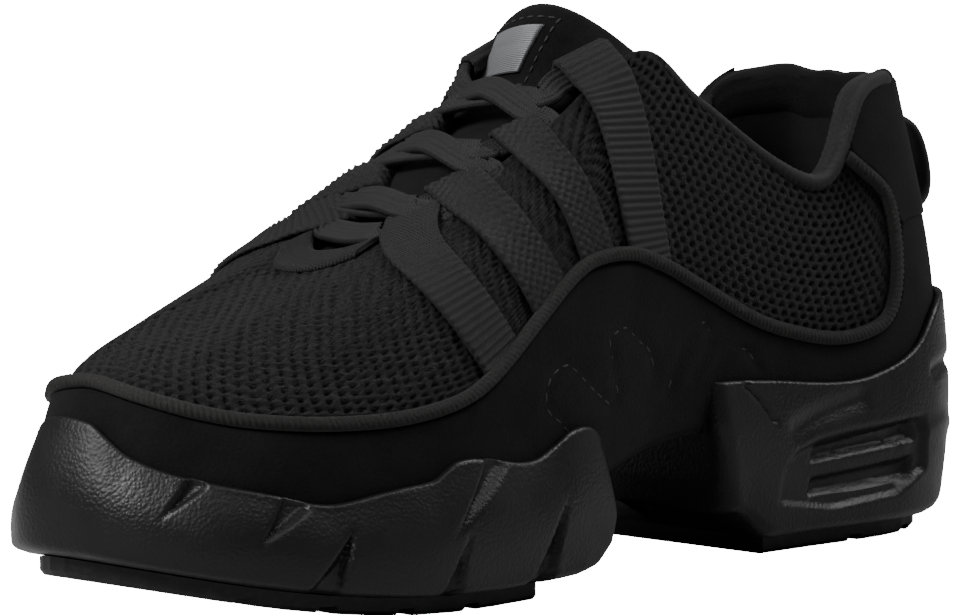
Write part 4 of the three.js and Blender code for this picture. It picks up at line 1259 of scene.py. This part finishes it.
loop_seats = {}
for number, (foot_along, throat_along, width_share) in enumerate(STRAPS, 1):
    low, high = strap_ends(foot_along, throat_along)
    for side, mirror in (("outer", False), ("inner", True)):
        t = np.linspace(-0.02, SHORT_END if mirror and number == 4 else 1, 80)
        stations = low + (high - low) * t
        start_v = foxing_v(low)
        heights = start_v + (1 - start_v) * t
        if mirror:
            stations = ROWS_ROUND - stations
        out = face_frame(stations, heights)[2]
        lift = 0.95 + 0.3 * ease(0.8, 1, t)
        band = skin(stations, heights, lift)
        onward = unit(band[-1] - band[-3])
        off = unit(out[-1] - onward * (out[-1] @ onward))
        centre = band[-1] - off * LOOP_RADIUS
        straight = [band[-1] + onward * d for d in np.linspace(0.5, LOOP_LENGTH, 10)]
        turns = np.linspace(0, np.pi, 16)[1:]
        bend = [centre + onward * (LOOP_LENGTH + LOOP_RADIUS * math.sin(q))
                + off * LOOP_RADIUS * math.cos(q) for q in turns]
        back = [bend[-1] - onward * d for d in np.linspace(1, LOOP_LENGTH + 5, 10)]
        bend_normals = [onward * math.sin(q) + off * math.cos(q) for q in turns]
        path = np.concatenate([band, straight, bend, back])
        faces = np.concatenate([out, [off] * 10, bend_normals, [-off] * 10])
        relief = rib_relief if number in (1, 4) else knob_relief
        width = STRAP_WIDTH * width_share
        across = unit(np.cross(out, np.gradient(band, axis=0)))
        body = np.linalg.norm(np.diff(band, axis=0), axis=-1).sum()
        whole = body + np.linalg.norm(np.diff(path, axis=0), axis=-1)[len(band) - 1:].sum()

        def tuck(share, offset, s=stations, w=heights, way=across, part=body / whole):
            """Sinks what lies past the foxing's line, so that it passes under the suede."""
            k = np.clip(share / part * (len(s) - 1), 0, len(s) - 1)
            i = np.rint(k).astype(int)
            place = slide(s[i], w[i], way[i], offset)
            past = foxing_v(place[0]) + 0.012 - place[1]
            return np.where(share < part, 1.6 * ease(0, 0.02, past), 0)

        name = f"strap_{side}_{number}"
        dress(swept_band(f"{name}_web", path, faces, width, WEBBING, spacing=0.46, around=44,
                         relief=relief, tuck=tuck),
              GROSGRAIN, [name])
        forward = unit(np.cross(off, onward)) * (-1 if mirror else 1)
        loop_seats[side, number] = (centre + onward * (LOOP_LENGTH - 2.2), forward, off, width)


# Laces: flat knitted ribbons that run through the loops and cross over the tongue

LACE_WIDTH = 7.0
LACE_THICKNESS = 1.8


def lace_relief(length, offset):
    return 0.42 * np.cos(2 * np.pi * offset / 1.45) + 0.06 * np.sin(2 * np.pi * length / 1.3)


def crown_place(point, turn, lift):
    """The point of the tongue's face nearest in x to a point."""
    stations = np.linspace(TONGUE_TOP + 0.1, TONGUE_FOOT, 240)
    face = tongue_face(stations, turn + 0 * stations)
    station = station_where(face[:, 0], stations, point[0])
    return tongue_point(station, turn, lift), tongue_out(station, turn)


def lace_run(name, start, end, start_way, end_way, over, nodes=()):
    """One ribbon from inside one loop over the tongue to inside another."""
    seat_a, forward_a, off_a, width_a = loop_seats[start]
    seat_b, forward_b, off_b, width_b = loop_seats[end]
    leave = seat_a + forward_a * start_way * (width_a / 2 + 1.5)
    enter = seat_b + forward_b * end_way * (width_b / 2 + 1.5)
    side = 1 if start[0] == "outer" else -1
    controls, faces = [seat_a, leave], [off_a, off_a]
    for share, turn in ((0.2, 0.42), (0.5, 0.0), (0.8, -0.42)):
        middle = leave + (enter - leave) * share
        lift = 4.6 + (2.2 * over if share == 0.5 else 1.2)
        point, out = crown_place(middle, side * turn, lift)
        controls.append(point)
        faces.append(out)
    controls += [enter, seat_b]
    faces += [off_b, off_b]
    path, normals = curve_through(controls), curve_through(faces)
    dress(swept_band(name, path, normals, LACE_WIDTH, LACE_THICKNESS, spacing=0.62, around=40,
                     relief=lace_relief),
          LACE_KNIT, nodes)


lace_run("lace_bar_ribbon", ("outer", 1), ("inner", 1), 1, 1, 0.4, ["lace_bar"])
for row in (1, 2, 3):
    lace_run(f"lace_over_{row}", ("outer", row), ("inner", row + 1), -1, 1, 1.4,
             [f"lace_cross_{row}"])
    lace_run(f"lace_under_{row}", ("inner", row), ("outer", row + 1), -1, 1, 0.3)


# Pull loop behind the heel

PULL_REACH = 14.5
PULL_WIDTH = 14
PULL_THICKNESS = 2.2
bow = np.array([0, 0.3, 0.85, 1, 0.85, 0.3, 0]) * PULL_REACH
rises = np.array([0.52, 0.56, 0.6, 0.7, 0.82, 0.89, 0.93])
pull = curve_through(skin(0 * rises, rises, PULL_THICKNESS + bow), 14)
pull_out = unit(np.cross(np.gradient(pull, axis=0), [0, 1, 0]))
if pull_out[len(pull) // 2, 0] > 0:
    pull_out = -pull_out
dress(swept_band("pull_loop_web", pull, pull_out, PULL_WIDTH, PULL_THICKNESS, spacing=0.4, around=30,
                 relief=lambda length, offset: 0.08 * np.cos(2 * np.pi * offset / 1.4)),
      GROSGRAIN, ["pull_loop"])


# The solids that stay get their finishes
for node, finish in (("forefoot_tread", TREAD), ("heel_tread", TREAD), ("insole", STRETCH)):
    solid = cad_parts[node]
    solid.data.materials.clear()
    solid.data.materials.append(finish)


# Stage: a pale floor, soft studio light and the camera at the photograph's angle

PAPER_GLOW = 24.0
WORLD_STRENGTH = 0.22
LIGHTS = [
    ("key_light", (1.3, -0.3, 1.2), (0, 0, 0.04), 0.8, 62),
    ("side_light", (0.2, 1.0, 1.9), (0, 0, 0.04), 0.7, 14),
    ("back_light", (-1.0, 0.6, 1.2), (0, 0, 0.06), 0.8, 22),
]

deselect()
bpy.ops.mesh.primitive_plane_add(size=8, location=(0, 0, 0))
floor = bpy.context.object
floor.name = "floor"
# Backdrop paper, which shows as white as in the photograph and throws little light back
paper, paper_tree, paper_shader = start_finish("matt_paper", "#b4b4b4", 0.9)
paper_shader.inputs["Emission Color"].default_value = linear("#ffffff")
seen = add_node(paper_tree, "ShaderNodeLightPath", {}).outputs["Is Camera Ray"]
paper_tree.links.new(add_math(paper_tree, "MULTIPLY", seen, PAPER_GLOW),
                     paper_shader.inputs["Emission Strength"])
floor.data.materials.append(paper)

world = bpy.data.worlds.new("studio")
bpy.context.scene.world = world
world.use_nodes = True
world.node_tree.nodes["Background"].inputs["Color"].default_value = linear("#ffffff")
world.node_tree.nodes["Background"].inputs["Strength"].default_value = WORLD_STRENGTH


def soft_light(name, place, aim, size, power):
    """A square soft box that looks at a point, both in metres."""
    deselect()
    bpy.ops.object.light_add(type="AREA", location=place)
    light = bpy.context.object
    light.name = name
    light.data.size = size
    light.data.energy = power
    light.rotation_euler = (Vector(aim) - Vector(place)).to_track_quat("-Z", "Y").to_euler()


for values in LIGHTS:
    soft_light(*values)

CAMERA_AIM = Vector((0.00154, -0.00008, 0.05))
CAMERA_AZIMUTH = math.radians(135)
CAMERA_ELEVATION = math.radians(6)
CAMERA_DISTANCE = 1.4
back = Vector((math.sin(CAMERA_AZIMUTH) * math.cos(CAMERA_ELEVATION),
               -math.cos(CAMERA_AZIMUTH) * math.cos(CAMERA_ELEVATION),
               math.sin(CAMERA_ELEVATION)))
bpy.ops.object.camera_add(location=CAMERA_AIM + back * CAMERA_DISTANCE)
camera = bpy.context.object
camera.rotation_euler = back.to_track_quat("Z", "Y").to_euler()
camera.data.sensor_width = 36
camera.data.lens = 229.4
camera.data.shift_x = -0.0188
camera.data.shift_y = 0.0432
bpy.context.scene.camera = camera
